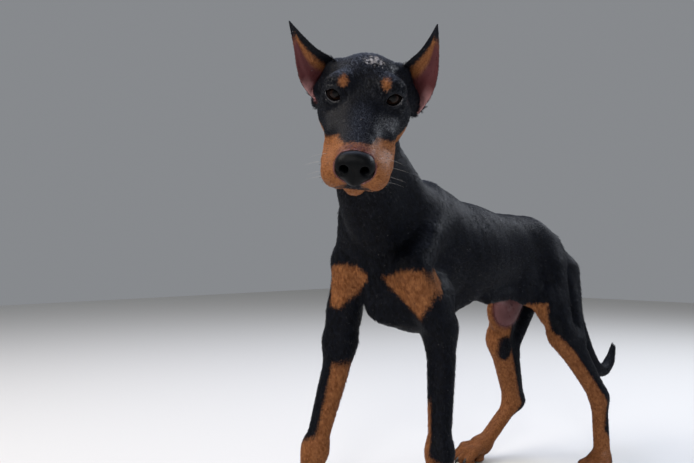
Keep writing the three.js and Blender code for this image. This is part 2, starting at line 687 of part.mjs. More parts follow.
function onFace(point) { // the nearest place on the face to a point
  const p = vec(point);
  for (let i = 0; i < 4; i += 1) {
    const slope = slopeAt(face, p);
    p.addScaledVector(slope, -face(p) / Math.max(slope.lengthSq(), 0.2));
  }
  return p.toArray();
}

function lidOpening(s) { // the almond between the lids, from the middle of the eyeball outwards
  const width = 20;
  const height = 14;
  const almond = new THREE.Shape();
  almond.moveTo(-width / 2, 0);
  almond.quadraticCurveTo(0, height, width / 2, 0);
  almond.quadraticCurveTo(0, -height, -width / 2, 0);
  const prism = new THREE.ExtrudeGeometry(almond, { depth: 30, curveSegments: 5, bevelEnabled: false });
  prism.rotateZ(THREE.MathUtils.degToRad(s * 10)); // outer corner higher
  prism.rotateX(Math.PI / 2);
  prism.rotateZ(THREE.MathUtils.degToRad(s * EYE_OUTWARD));
  return solidFrom(prism.translate(...eyeAt(s)));
}

const MOUTH = [
  [0, -84, -56], [9, -82, -59], [19, -74, -63], [25, -58, -63], [28, -38, -57], [30, -16, -46],
];

function mouthLine(s) {
  const points = MOUTH.map(([x, y, z]) => onFace([s * x, y, z]));
  return tube(points, [1.5, 1.7, 1.8, 1.8, 1.6, 1], 4, 10);
}

function nostril(s) {
  const tilt = new THREE.Matrix4().makeRotationY(s * 0.5);
  const opening = ball([s * 7.8, -88.5, -34], [4.4, 8, 3.6], tilt);
  const slit = ball([s * 13.4, -86, -37.2], [4.6, 7, 1.3], tilt);
  return opening.add(slit);
}

let headSolid = surface(headInside, [-63, -98, -84], [63, 104, 52], GRID.head);
const noseSolid = surface(noseForm, [-22, -96, -54], [22, -62, -12], GRID.nose);
const noseSocket = noseSolid.warp((corner) => { // the same facets, a little further out
  const out = slopeAt(noseForm, vec(corner)).setLength(GAP * 1.5);
  vec(corner).add(out).toArray(corner);
});
headSolid = between(headSolid, [CUT.nape, -1]).subtract(noseSocket);
const philtrum = ball([0, -90, -47], [0.9, 7, 11]);
let leather = noseSolid.subtract(philtrum);
headSolid = headSolid.subtract(philtrum);
for (const [side, s] of [['l', 1], ['r', -1]]) {
  const eyeGeometry = (radius) => (
    new THREE.SphereGeometry(radius, 12, 9).translate(...eyeAt(s)));
  headSolid = headSolid.subtract(solidFrom(eyeGeometry(EYE_RADIUS + GAP)));
  headSolid = headSolid.subtract(lidOpening(s)).subtract(mouthLine(s)).subtract(ear(side, GAP));
  leather = leather.subtract(nostril(s));
  add(`eye_${side}`, solidFrom(eyeGeometry(EYE_RADIUS)), 'eye', headFrame);
  add(`ear_${side}`, ear(side, 0), 'ear_skin', headFrame);
}
add('nose', leather, 'nose_leather', headFrame);
add('head', headSolid, 'black_coat', headFrame);

// The origin goes to the middle of the bottom of the bounding box
const extent = new THREE.Box3().setFromObject(doberman, true);
const origin = extent.getCenter(new THREE.Vector3()).setZ(extent.min.z);
for (const node of doberman.children) node.position.sub(origin);

export default doberman;
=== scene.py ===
# A young black and tan doberman pinscher, standing, as a life-size still model.
# Millimetres in the dog's own frame until a mesh is made: z = 0 is the floor, the origin lies below the
# withers, the dog faces -y and x points to its left. Left and right are the dog's own.
import math
import bmesh
import bpy
import numpy as np
from mathutils import Euler, Matrix, Vector, kdtree


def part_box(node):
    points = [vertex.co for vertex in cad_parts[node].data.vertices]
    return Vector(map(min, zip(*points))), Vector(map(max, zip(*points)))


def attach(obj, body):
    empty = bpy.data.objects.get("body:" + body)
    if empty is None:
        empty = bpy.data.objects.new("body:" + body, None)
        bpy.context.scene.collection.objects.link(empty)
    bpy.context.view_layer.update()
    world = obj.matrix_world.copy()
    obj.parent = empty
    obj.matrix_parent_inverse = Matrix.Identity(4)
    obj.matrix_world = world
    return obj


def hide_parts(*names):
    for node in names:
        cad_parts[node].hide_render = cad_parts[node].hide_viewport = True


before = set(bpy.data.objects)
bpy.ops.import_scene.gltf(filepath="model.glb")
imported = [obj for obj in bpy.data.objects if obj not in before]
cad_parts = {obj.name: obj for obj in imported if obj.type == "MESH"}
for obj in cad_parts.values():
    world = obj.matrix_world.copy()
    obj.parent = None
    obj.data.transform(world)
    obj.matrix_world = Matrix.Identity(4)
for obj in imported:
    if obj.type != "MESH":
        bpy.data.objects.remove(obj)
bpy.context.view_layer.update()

# Flesh
# The body under the coat: muscle and bone rounded over by skin, in life one unbroken form from the nose to
# the tail. It is described as distances to simple forms, blended where muscles run into each other.
HEAD_AT = np.array([105.0, -226.0, 467.0])  # midway between the eyes
HEAD_AXES = np.array([  # its left, back and up
    [0.742, 0.664, -0.093],
    [-0.561, 0.69, 0.457],
    [0.368, -0.287, 0.884],
])
HEAD_MIDDLE, HEAD_RADIUS = np.array([0.0, 0.0, -16.0]), 112  # a ball that holds all but the ears' points
EYE_AT = np.array([25.5, 7.5, 3.0])
EYE_RADIUS = 11.0
WITHERS, BRISKET, CROUP = 419, 227, 380
SIDES = {"l": 1, "r": -1}  # the sign of x on the dog's left and right
JOINT = {
    "shoulder_l": (44, -80, 313), "elbow_l": (41, -27, 240), "wrist_l": (39, -25, 93),
    "shoulder_r": (-45, -85, 314), "elbow_r": (-72, -78, 220), "wrist_r": (-96, -98, 85),
    "hip_l": (25, 258, 306), "stifle_l": (50, 250, 217), "hock_l": (77, 317, 112),
    "hip_r": (-25, 258, 304), "stifle_r": (-52, 250, 197), "hock_r": (-61, 306, 89),
}
PAW = {"front_l": ((39, -50), 6, 1.0), "front_r": ((-103, -127), -12, 1.0),
       "hind_l": ((81, 299), 6, 0.94), "hind_r": ((-95, 246), -27, 0.94)}  # place, degrees turned out, size
TAIL = [(0, 318, 344), (2, 348, 296), (7, 378, 235), (11, 405, 181), (14, 432, 144), (16, 462, 129),
        (17, 489, 141), (17, 507, 167)]
TAIL_RADII = [15, 14.2, 13, 12.2, 11.4, 10.6, 9.4, 4.5]


def eye_middle():
    boxes = [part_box(f"eye_{side}") for side in "lr"]
    return sum((low + high for low, high in boxes), Vector()) / 4 * 1000


def to_body(points):
    """From the head's own frame to the body's."""
    return np.asarray(points, float) @ HEAD_AXES + HEAD_AT


def to_head(points):
    return (np.asarray(points, float) - HEAD_AT) @ HEAD_AXES.T


def from_head(q):
    """How far places in the head's frame lie from its middle."""
    return np.linalg.norm(q - HEAD_MIDDLE, axis=1)


ORIGIN = np.array(eye_middle()) - to_body([0, EYE_AT[1], EYE_AT[2]])  # of this frame, in the model's


def through(points, t):
    """A smooth curve through points, for t from 0 to 1."""
    points = np.array(points, float)
    ends = np.vstack([2 * points[0] - points[1], points, 2 * points[-1] - points[-2]])
    x = np.clip(np.asarray(t, float), 0, 1) * (len(points) - 1)
    i = np.minimum(x.astype(int), len(points) - 2)
    u = (x - i)[:, None]
    a, b, c, d = (ends[i + k] for k in range(4))
    return 0.5 * (2 * b + (c - a) * u + (2 * a - 5 * b + 4 * c - d) * u**2 + (3 * b - a - 3 * c + d) * u**3)


def unit(v):
    return v / np.maximum(np.linalg.norm(v, axis=-1, keepdims=True), 1e-9)


def taper(a, b, ra, rb):
    """Distance to a round bar from a to b, its radius going from ra to rb."""
    a, along = np.array(a, float), np.subtract(b, a).astype(float)

    def distance(p):
        q = p - a
        t = np.clip(q @ along / (along @ along), 0, 1)
        return np.linalg.norm(q - t[:, None] * along, axis=1) - (ra + (rb - ra) * t)
    return distance


def chain(points, radii):
    links = [taper(*pair) for pair in zip(points, points[1:], radii, radii[1:])]
    return lambda p: np.minimum.reduce([link(p) for link in links])


def lump(centre, radii, turn=(0, 0, 0)):
    """Distance to an ellipsoid, turned by angles in degrees."""
    axes = np.array(Euler([math.radians(a) for a in turn]).to_matrix())
    centre, radii = np.array(centre, float), np.array(radii, float)

    def distance(p):
        q = (p - centre) @ axes
        k0 = np.linalg.norm(q / radii, axis=1)
        k1 = np.linalg.norm(q / radii**2, axis=1)
        return k0 * (k0 - 1) / np.maximum(k1, 1e-6)
    return distance


def meld(a, b, soft):
    h = np.maximum(soft - np.abs(a - b), 0) / soft
    return np.minimum(a, b) - h * h * soft / 4


def blend(soft, *forms):
    def distance(p):
        near = forms[0](p)
        for form in forms[1:]:
            near = meld(near, form(p), soft)
        return near
    return distance


def within(centre, radius, form, margin=60):
    """A form that is only looked at closely near the ball that holds it."""
    centre = np.array(centre, float)

    def distance(p):
        away = np.linalg.norm(p - centre, axis=1) - radius
        close = away < margin
        if close.any():
            away[close] = form(p[close])
        return away
    return distance


def both(make):
    return [make(1), make(-1)]


def joined(a, b, share):
    return tuple(u + (v - u) * share for u, v in zip(a, b))


def shift(point, *by):
    return tuple(u + v for u, v in zip(point, by))


trunk = blend(
    22,
    lump((0, 72, 326), (50, 112, 62)),
    lump((0, -24, 312), (44, 60, 72), (-8, 0, 0)),
    chain([(0, -4, WITHERS - 22), (0, 60, WITHERS - 45), (0, 150, CROUP - 26), (0, 232, CROUP - 33)],
          [18, 20, 26, 28]),
    lump((0, 186, 324), (38, 72, 54)),
    lump((0, 252, 335), (40, 56, 40), (-20, 0, 0)),
    lump((0, 290, 318), (32, 34, 38)),
)
keel = chain([(0, -56, 262), (0, 2, BRISKET + 17), (0, 58, BRISKET + 50)], [17, 17, 19])
front_of_chest = taper((-3, -78, 316), (-3, -76, 271), 23, 22)
neck = blend(
    20,
    chain([(0, 8, 360), (14, -64, 388), (29, -122, 436), (54, -160, 486)], [42, 34, 26, 24]),
    chain([(-8, -62, 340), (14, -112, 382), (38, -152, 424), (60, -182, 452)], [38, 33, 27, 24]),
    taper((-22, -72, 330), (24, -148, 400), 22, 20),
    taper((-44, -86, 322), (-15, -107, 372), 21, 19),
)
tail_run = through(TAIL, np.linspace(0, 1, 29))
tail = chain(tail_run, np.interp(np.linspace(0, 1, 29), np.linspace(0, 1, len(TAIL)), TAIL_RADII))


def foreleg(side):
    sign = SIDES[side]
    shoulder, elbow, wrist = (JOINT[f"{name}_{side}"] for name in ("shoulder", "elbow", "wrist"))
    (x, y), _, _ = PAW[f"front_{side}"]
    upper = shift(joined(elbow, wrist, 0.25), 0, 4, 0)
    return within(elbow, 180, blend(
        12,
        chain([(sign * 30, -2, WITHERS - 46), (sign * 40, -50, 346), shoulder, elbow], [14, 20, 23, 19.5]),
        lump(shift(joined(elbow, shoulder, 0.4), sign * 6, 10, 0), (14, 26, 34), (-24, 0, 0)),
        taper(shift(elbow, 0, 9, 8), shift(elbow, 0, 3, -14), 8, 9),
        chain([elbow, upper, wrist, (x, y + 18, 32)], [20.5, 17.5, 13.5, 14]),
        lump(shift(wrist, 0, 1, 2), (18, 16, 19)),
    ))


def hindleg(side):
    sign = SIDES[side]
    hip, stifle, hock = (JOINT[f"{name}_{side}"] for name in ("hip", "stifle", "hock"))
    (x, y), turn, _ = PAW[f"hind_{side}"]
    way = math.radians(turn)

    def ahead(from_, reach, rise):
        return shift(from_, math.sin(way) * reach, -math.cos(way) * reach, rise)

    calf = joined(stifle, hock, 0.3)
    return within((sign * 55, 280, 180), 190, blend(
        12,
        taper(hip, stifle, 29, 18),
        lump(shift(joined(hip, stifle, 0.62), 0, -19, 3), (17, 21, 30)),
        chain([(sign * 22, 104, 270), (sign * 22, 162, 271), (sign * 23, 202, 262), (sign * 28, 228, 252)],
              [8, 7, 6, 8]),
        lump((sign * 27, 204, 279), (11, 30, 24)),
        taper((sign * 24, 312, hip[2] - 6), ahead(calf, -12, 18), 24, 15),
        chain([stifle, ahead(calf, -8, 4), hock, ahead((x, y, 0), -22, 32)], [16.5, 16.5, 12, 12.5]),
        taper(ahead(stifle, 0, -14), ahead(hock, 7, 12), 14.5, 10),
        chain([ahead(hock, -13, 4), ahead(calf, -17, 0)], [6, 8]),
        lump(hock, (11.5, 18, 15), (0, 0, turn)),
    ))


TOE_X, TOE_REACH = (-18.5, -6.8, 6.8, 18.5), (-22, -29, -29, -22)
SOLE = -1.2  # where the floor of a paw's own frame lies, so that its pads stand flat
toes = [blend(
    3,
    taper((x * 0.72, 4, 25), (x, reach + 13, 22), 8.6, 8.4),
    taper((x, reach + 13, 21), (x * 1.08, reach, 10.5), 8.2, 7.4),
    lump((x * 1.08, reach + 4, 5.4), (6.8, 9.5, 6.4)),
) for x, reach in zip(TOE_X, TOE_REACH)]
heel = blend(8, lump((0, 12, 27), (19, 20, 17)), lump((0, 4, 7), (17, 12, 8)))
paw_shape = blend(3.2, *toes, heel)


def paw_axes(name):
    turn = math.radians(PAW[name][1])
    return np.array([[math.cos(turn), math.sin(turn), 0], [-math.sin(turn), math.cos(turn), 0], [0, 0, 1]])


def from_paw(name, points):
    (x, y), _, size = PAW[name]
    return np.asarray(points, float) * size @ paw_axes(name) + (x, y, SOLE)


def paw(name):
    (x, y), _, size = PAW[name]
    axes, under = paw_axes(name), (x, y, SOLE)
    return within((x, y, 20), 55, lambda p: paw_shape((p - under) @ axes.T / size) * size, 40)


legs = {f"front_{side}": foreleg(side) for side in "lr"} | {f"hind_{side}": hindleg(side) for side in "lr"}
paws = {name: paw(name) for name in PAW}

skull = blend(
    12,
    lump((0, 42, 0), (37.5, 47, 34)),
    *both(lambda s: lump((s * 25, 31, -24), (17, 29, 26))),
    *both(lambda s: lump((s * 22, 9, 13), (13, 13, 8.5))),
    *both(lambda s: taper((s * 30, 24, -16), (s * 21, -22, -27), 13, 11.5)),
    *both(lambda s: taper((s * 7, 4, -13), (s * 5.5, -70, -32), 18, 12.5)),
    taper((0, -4, -32), (0, -62, -42), 25, 19),
)
lips = blend(
    8,
    *both(lambda s: lump((s * 14.5, -57, -46), (16.5, 26, 17), (0, 0, s * 6))),
    *both(lambda s: taper((s * 20, -40, -46), (s * 23, -12, -40), 13, 10.5)),
)
ear_base = blend(
    10,
    *both(lambda s: taper((s * 33, 54, 14), (s * 43, 52, -10), 9.5, 8.5)),
    *both(lambda s: taper((s * 43, 52, -8), (s * 49, 50, -22), 8, 4.5)),
)
jaw = blend(
    8,
    taper((0, -59, -58), (0, -20, -56), 11.5, 16),
    taper((0, -20, -56), (0, 28, -48), 17, 25),
)
orbits = blend(1, *both(lambda s: lump((s * EYE_AT[0], EYE_AT[1], EYE_AT[2]), [EYE_RADIUS + 3] * 3)))
nose_form = blend(
    4,
    lump((0, -80, -31), (14, 9.5, 10)),
    *both(lambda s: lump((s * 8.5, -79.5, -32.5), (8, 9.5, 8.5))),
    *both(lambda s: lump((s * 8, -79.5, -37.5), (8.5, 9.5, 8.5))),
    lump((0, -79.5, -42), (9.5, 8.5, 10)),
)


def face(p):
    upper = meld(meld(meld(skull(p), ear_base(p), 14), lips(p), 7), orbits(p), 11)
    return meld(upper, jaw(p), 3)


head = within(to_body(HEAD_MIDDLE), HEAD_RADIUS, lambda p: face(to_head(p)), 40)


def flesh(p):
    near = meld(meld(meld(trunk(p), keel(p), 24), front_of_chest(p), 22), neck(p), 26)
    near = meld(near, head(p), 16)
    for name, leg in legs.items():
        near = meld(near, meld(leg(p), paws[name](p), 8), 16 if name.startswith("front") else 20)
    return meld(near, tail(p), 12)


# Skin
# Thin, close-fitting skin over that flesh, with lids, lips and a socket for the nose. It is one unbroken
# mesh, drawn over the form, then raised and creased where muscle, bone and folds show through the coat.
COAT_DEPTH = 1.2  # how far the skin lies below the outside of the coat
NET_STEP = 7.0  # side of the first net's squares
NET_SPARE = 1.8  # how far out that net is taken, so that it catches thin forms
DOG_LOW, DOG_HIGH = (-140, -300, -12), (166, 524, 560)  # a box that holds the whole dog


def outside(p):
    return np.maximum(flesh(p), -p[:, 2]) + COAT_DEPTH


def slope(form, p, reach=0.25):
    here = form(p)
    steps = [form(p + reach * np.eye(3)[k]) - here for k in range(3)]
    return here, np.stack(steps, axis=1) / reach


def grid(*steps):
    """Every place of a grid, from its steps along each axis."""
    return np.stack(np.meshgrid(*steps, indexing="ij"), -1).reshape(-1, 3)


def net_over(form, low, high, step):
    """A closed net of squares over a form: one corner in each cell of a grid that the form cuts."""
    count = np.ceil((np.array(high) - low) / step).astype(int) + 1
    coarse = 4
    value = np.full(count, 1e3, np.float32)
    blocks = grid(*[np.arange(0, n, coarse) for n in count])
    middle = np.array(low) + (blocks + (coarse - 1) / 2) * step
    far = form(middle)
    reach = step * coarse * 1.15
    for block, d in zip(blocks[np.abs(far) >= reach], far[np.abs(far) >= reach]):
        value[tuple(slice(k, k + coarse) for k in block)] = d
    near = blocks[np.abs(far) < reach]
    inner = grid(*[np.arange(coarse)] * 3)
    index = (near[:, None] + inner).reshape(-1, 3)
    index = index[(index < count).all(1)]
    value[tuple(index.T)] = form(np.array(low) + index * step)
    inside = value < 0
    total = np.zeros(tuple(count - 1) + (3,))
    hits = np.zeros(tuple(count - 1))
    crossings = []
    for axis in range(3):
        a = tuple(slice(0, -1) if k == axis else slice(None) for k in range(3))
        b = tuple(slice(1, None) if k == axis else slice(None) for k in range(3))
        at = np.argwhere(inside[a] != inside[b])
        va, vb = value[a][tuple(at.T)], value[b][tuple(at.T)]
        place = at.astype(float)
        place[:, axis] += va / (va - vb)
        others = [k for k in range(3) if k != axis]
        corners = []
        for i, j in ((0, 0), (1, 0), (1, 1), (0, 1)):
            cell = at.copy()
            cell[:, others[0]] -= i
            cell[:, others[1]] -= j
            cell = np.clip(cell, 0, count - 2)
            np.add.at(total, tuple(cell.T), place)
            np.add.at(hits, tuple(cell.T), 1)
            corners.append(cell)
        crossings.append((np.stack(corners, 1), inside[a][tuple(at.T)], axis))
    number = np.full(hits.shape, -1)
    number[hits > 0] = np.arange((hits > 0).sum())
    points = np.array(low) + total[hits > 0] / hits[hits > 0][:, None] * step
    squares = []
    for corners, starts_inside, axis in crossings:
        quad = number[tuple(corners.reshape(-1, 3).T)].reshape(-1, 4)
        turned = starts_inside == (axis == 1)
        quad[turned] = quad[turned][:, ::-1]
        squares.append(quad)
    return points, np.concatenate(squares)


def drawn_to(form, points, rounds, most):
    """Moves points onto a form along its slope."""
    for _ in range(rounds):
        here, out = slope(form, points)
        size = np.maximum((out * out).sum(1), 0.3)
        points = points - out * np.clip(here / size, -most, most)[:, None]
    return points


def in_scene(name, data):
    """An object for a mesh, a light or a camera, put in the scene."""
    obj = bpy.data.objects.new(name, data)
    bpy.context.scene.collection.objects.link(obj)
    return obj


def mesh_of(name, points, faces):
    """A mesh object whose points come in millimetres of the dog's frame."""
    mesh = bpy.data.meshes.new(name)
    mesh.from_pydata(((np.asarray(points) + ORIGIN) / 1000).tolist(), [], [tuple(f) for f in faces])
    mesh.shade_smooth()
    return in_scene(name, mesh)


def read(items, key, width=1, kind=float):
    """What a mesh holds for each of its points, edges, corners or faces, as rows of numbers."""
    values = np.empty(len(items) * width, kind)
    items.foreach_get(key, values)
    return values.reshape(-1, width) if width > 1 else values


def places(obj):
    return read(obj.data.vertices, "co", 3) * 1000 - ORIGIN


def move_to(obj, points):
    obj.data.vertices.foreach_set("co", ((points + ORIGIN) / 1000).ravel())
    obj.data.update()


def settled(obj, form, rounds=3, most=1.5, ease=0.5):
    """Evens out a mesh and draws it to a form."""
    points = places(obj)
    a, b = read(obj.data.edges, "vertices", 2, int).T
    for _ in range(2):
        middle = np.zeros_like(points)
        number = np.zeros(len(points))
        for u, v in ((a, b), (b, a)):
            np.add.at(middle, u, points[v])
            np.add.at(number, u, 1)
        points = points + (middle / number[:, None] - points) * ease
        points = drawn_to(form, points, 1, most)
    move_to(obj, drawn_to(form, points, rounds, most))


def evaluated_mesh(obj):
    return bpy.data.meshes.new_from_object(obj.evaluated_get(bpy.context.evaluated_depsgraph_get()))


def applied(obj, kind, **settings):
    """Adds a modifier and makes its result the mesh."""
    modifier = obj.modifiers.new(kind.lower(), kind)
    for key, value in settings.items():
        setattr(modifier, key, value)
    mesh = evaluated_mesh(obj)
    obj.modifiers.clear()
    old, obj.data = obj.data, mesh
    bpy.data.meshes.remove(old)


points, squares = net_over(lambda p: outside(p) - NET_SPARE, DOG_LOW, DOG_HIGH, NET_STEP)
skin = mesh_of("skin", drawn_to(outside, points, 2, NET_STEP), squares)
settled(skin, outside)
applied(skin, "SUBSURF", levels=1, render_levels=1)
settled(skin, outside, 2)


def refined(obj, chosen, form):
    """Splits the faces whose middles are chosen into four, and draws the new points to the form."""
    bm = bmesh.new()
    bm.from_mesh(obj.data)
    middles = np.array([f.calc_center_median() for f in bm.faces]) * 1000 - ORIGIN
    bm.faces.ensure_lookup_table()
    edges = {edge for i in np.flatnonzero(chosen(middles)) for edge in bm.faces[i].edges}
    bmesh.ops.subdivide_edges(bm, edges=list(edges), cuts=1, use_grid_fill=True, smooth=0.0)
    bm.to_mesh(obj.data)
    bm.free()
    obj.data.shade_smooth()
    settled(obj, form, 2, 1.0, 0.3)


# The line of the mouth, from the middle of the upper lip back along each side
MOUTH = [(0, -84, -56), (9, -82, -59), (19, -74, -63), (25, -58, -63), (28, -38, -57), (30, -16, -46)]
MOUTH_RADII = [1.2, 1.5, 1.6, 1.6, 1.4, 0.8]
# The almond between the lids: how far it is turned out and tilted, in degrees, and its sizes
LIDS = {"outward": 14, "tilt": 19, "half_width": 9.0, "upper": 6.8, "lower": 5.3}


def eye_axes(s):
    """The frame of an eye's opening: across, back and up, in the head's frame."""
    out, tilt = math.radians(s * LIDS["outward"]), math.radians(s * LIDS["tilt"])
    turn = Matrix.Rotation(out, 3, "Z") @ Matrix.Rotation(-tilt, 3, "Y")
    return np.array(turn).T


def eye_place(s):
    return np.array([s * EYE_AT[0], EYE_AT[1], EYE_AT[2]])


def lid_edge(x, side):
    """Height of a lid's edge over the line between the corners, x from -1 to 1."""
    return LIDS[side] * (1 - np.abs(x) ** 2.2)


def in_opening(q, s):
    """How far places of the head lie outside the almond between the lids, and where in the eye's frame."""
    r = (q - eye_place(s)) @ eye_axes(s).T
    x = np.clip(r[:, 0] / LIDS["half_width"], -1.6, 1.6)
    edge = np.where(r[:, 2] > 0, lid_edge(x, "upper"), lid_edge(x, "lower"))
    gap = np.where((r[:, 1] < 0) & (np.linalg.norm(r, axis=1) < 20), np.abs(r[:, 2]) - edge, 20)
    return gap, r


def on_face(points):
    return drawn_to(face, np.array(points, float), 4, 8)


mouth_line = blend(1, *both(lambda s: chain(on_face([(s * x, y, z) for x, y, z in MOUTH]), MOUTH_RADII)))


def creased(p):
    """The outside of the skin, drawn in along the line of the mouth."""
    d = outside(p)
    q = to_head(p)
    close = from_head(q) < HEAD_RADIUS + 6
    d[close] = -meld(-d[close], mouth_line(q[close]), 2)
    return d


def on_head(p):
    q = to_head(p)
    return (from_head(q) < HEAD_RADIUS) & (q[:, 1] < 66)


def on_paws(p):
    return p[:, 2] < 38


def on_features(p):
    q = to_head(p)
    eyes = np.min([np.linalg.norm(q - eye_place(s) - (0, -6, 0), axis=1) for s in (1, -1)], axis=0)
    return (eyes < 17) | ((q[:, 1] < -52) & (q[:, 2] < -36) & (q[:, 2] > -76))


refined(skin, lambda p: on_head(p) | on_paws(p), creased)
refined(skin, on_features, creased)

# Creases and swellings that show through the coat: a run of places, how far each reaches, and how high or
# deep it is. Those in the middle are there once, the others on both sides. The head's are in its own frame.
BODY_FOLDS = [
    ([(52, -46, 342), (54, -22, 310), (52, 6, 284)], 8, -1.6),  # behind the upper arm
    ([(20, -4, 404), (38, -30, 372), (48, -60, 340), (48, -82, 318)], 7, 1.3),  # ridge of the shoulder blade
    ([(34, -50, 394), (40, -80, 350), (30, -98, 320)], 8, -0.7),  # neck before the shoulder
    ([(50, -14, 318), (60, -30, 280), (58, -24, 256)], 5, -1.0),  # between the heads of the triceps
    ([(48, 208, 318), (54, 222, 282), (50, 232, 250), (46, 232, 232)], 9, -1.6),  # flank
    ([(20, 176, 372), (44, 196, 350), (52, 214, 330)], 10, -1.2),  # hollow before the hip
    ([(22, 226, 372), (30, 232, 366)], 9, 1.5),  # point of the hip
    ([(50, 262, 322), (60, 268, 280), (62, 270, 236)], 7, -1.2),  # behind the thigh's front muscle
    ([(46, 300, 300), (58, 300, 262), (64, 296, 228)], 6, -1.1),
]
RIBS = [([(26, y, 372), (50, y + 12, 330), (42, y + 6, 286)], 5, 0.55) for y in range(14, 125, 22)]
MIDDLE_FOLDS = [
    ([(0, -122, 372), (-2, -104, 338), (-2, -96, 300), (0, -76, 268)], 9, -2.0),  # between the breasts
    ([(62, -198, 430), (34, -160, 378), (10, -128, 338), (0, -112, 310)], 5, -1.3),  # folds of the throat
    ([(76, -184, 424), (52, -138, 372), (24, -116, 332)], 5, -1.1),
    ([(48, -206, 440), (16, -160, 384), (-12, -124, 344)], 6, 0.9),
]
HEAD_FOLDS = [
    ([(34, 15, 2), (37, 4, -14), (32, -10, -30)], 5, -0.9),  # edge of the cheek muscle
    ([(36, 2, -4), (39, 18, -3), (38, 36, 2)], 5, 0.9),  # cheekbone
    ([(9, -51, -13), (16, -58, -22), (17, -66, -30)], 2.2, -0.7),  # wrinkles of the muzzle
    ([(24, -40, -22), (23, -54, -34), (21, -66, -44)], 2.6, -0.5),
    ([(14, -2, 22), (24, -3, 20), (33, 4, 15)], 3.5, 0.3),  # brow
    ([(17, -2, 10), (25, -6, 15), (33, -1, 13), (38, 5, 7)], 1.3, -0.7),  # fold over the upper lid
    ([(17, -6, -5), (25, -7, -7), (33, -2, -3)], 1.5, -0.5),  # and below the lower one
]
HEAD_MIDDLE_FOLDS = [([(0, -4, 22), (0, 14, 30), (0, 30, 34)], 6, -0.5)]  # furrow of the forehead


def mirrored(folds):
    return folds + [([(-x, y, z) for x, y, z in run], reach, depth) for run, reach, depth in folds]


folds = mirrored(BODY_FOLDS + RIBS) + MIDDLE_FOLDS
folds += [(to_body(run), reach, depth) for run, reach, depth in mirrored(HEAD_FOLDS) + HEAD_MIDDLE_FOLDS]
points = places(skin)
_, out = slope(outside, points)
out /= np.maximum(np.linalg.norm(out, axis=1), 0.2)[:, None]
for run, reach, depth in folds:
    run = drawn_to(outside, np.array(run, float), 4, 14)
    close = ((points > run.min(0) - 3 * reach) & (points < run.max(0) + 3 * reach)).all(1)
    rise = depth * np.exp(-(chain(run, [0.0] * len(run))(points[close]) / reach) ** 2)
    points[close] += out[close] * rise[:, None]
q = to_head(points)
sunk = np.clip((-nose_form(q) - 0.4) / 1.2, 0, 1) * (q[:, 1] < -66)  # the hollow in which the nose sits
q[:, 1] += sunk * (np.maximum(q[:, 1], -72) - q[:, 1])
for s in (1, -1):  # the skin ends at the edges of the lids and turns in behind them
    gap, r = in_opening(q, s)
    on_edge = np.abs(gap) < 0.45
    r[on_edge, 2] -= (gap * np.sign(r[:, 2]))[on_edge]
    within_lids = np.clip(-gap / 0.5, 0, 1) * ~on_edge
    r[:, 1] += within_lids * (np.maximum(r[:, 1], -3) - r[:, 1])
    q = np.where((gap < 0.5)[:, None], r @ eye_axes(s) + eye_place(s), q)
    sunk = np.maximum(sunk, gap < 0.5)
move_to(skin, np.where(sunk[:, None] > 0, to_body(q), points))

# Ears
# Cropped ears: a leaf of cartilage under thin skin, cut to a point and healed upright, furred behind and
# almost bare inside. Each is drawn between its front and its outer edge and grown into the skin of the head.
EARS = {
    "l": {"front": [(34, 47, 24), (40, 47, 31), (48, 50, 39), (55.5, 54, 51), (62, 60, 64)],
          "outer": [(58, 45, -13), (64.5, 46, 1), (67.5, 50, 19), (66, 54, 41), (62.5, 60, 64)]},
    "r": {"front": [(-33, 47, 25), (-43, 47, 30), (-53, 50, 35), (-66, 54, 45), (-79.5, 60, 56)],
          "outer": [(-55, 45, -11), (-63.5, 46, 0), (-69, 50, 14), (-73.5, 54, 34), (-80, 60, 56)]},
}
EAR_THICKNESS = 2.2
EAR_ALONG, EAR_ACROSS = 34, 23  # points along a leaf and across it


def ear_leaf(side):
    """Points of an ear's outer and inner face, in the head's frame, as grids from root to tip."""
    t = np.concatenate([[0, 0], np.linspace(0, 0.985, EAR_ALONG)])
    front, outer = through(EARS[side]["front"], t), through(EARS[side]["outer"], t)
    rise = unit(np.gradient(front, axis=0) + np.gradient(outer, axis=0) + 1e-9)
    rise[:3] = rise[3]
    middle, half = (front + outer) / 2, (outer - front) / 2
    back = unit(np.cross(half, rise))
    back *= np.sign(back[:, 1:2])
    middle[0] -= rise[0] * 9
    middle[1] -= rise[0] * 4.5
    bend = np.radians(84 + (18 - 84) * np.sqrt(t))
    width = np.linalg.norm(half, axis=1)
    radius = width / np.sin(bend)
    over = np.linspace(-1, 1, EAR_ACROSS)
    angle = bend[:, None] * over
    edge = 1 - 0.75 * np.abs(over) ** 6  # the leaf thins to its rim
    thick = (EAR_THICKNESS + (EAR_THICKNESS * 0.55 - EAR_THICKNESS) * t)[:, None] / 2 * edge
    ridges = 0.35 * np.sin(over * 11) * np.clip(1.2 - t, 0, 1)[:, None]
    leaves = []
    for face_sign in (1, -1):
        swell = face_sign * thick + (ridges * (face_sign < 0))
        r = radius[:, None] + swell
        sink = radius[:, None] * (np.cos(angle) - np.cos(bend)[:, None]) + swell * np.cos(angle)
        leaves.append(middle[:, None] + unit(half)[:, None] * (r * np.sin(angle))[..., None]
                      + back[:, None] * sink[..., None])
    return leaves


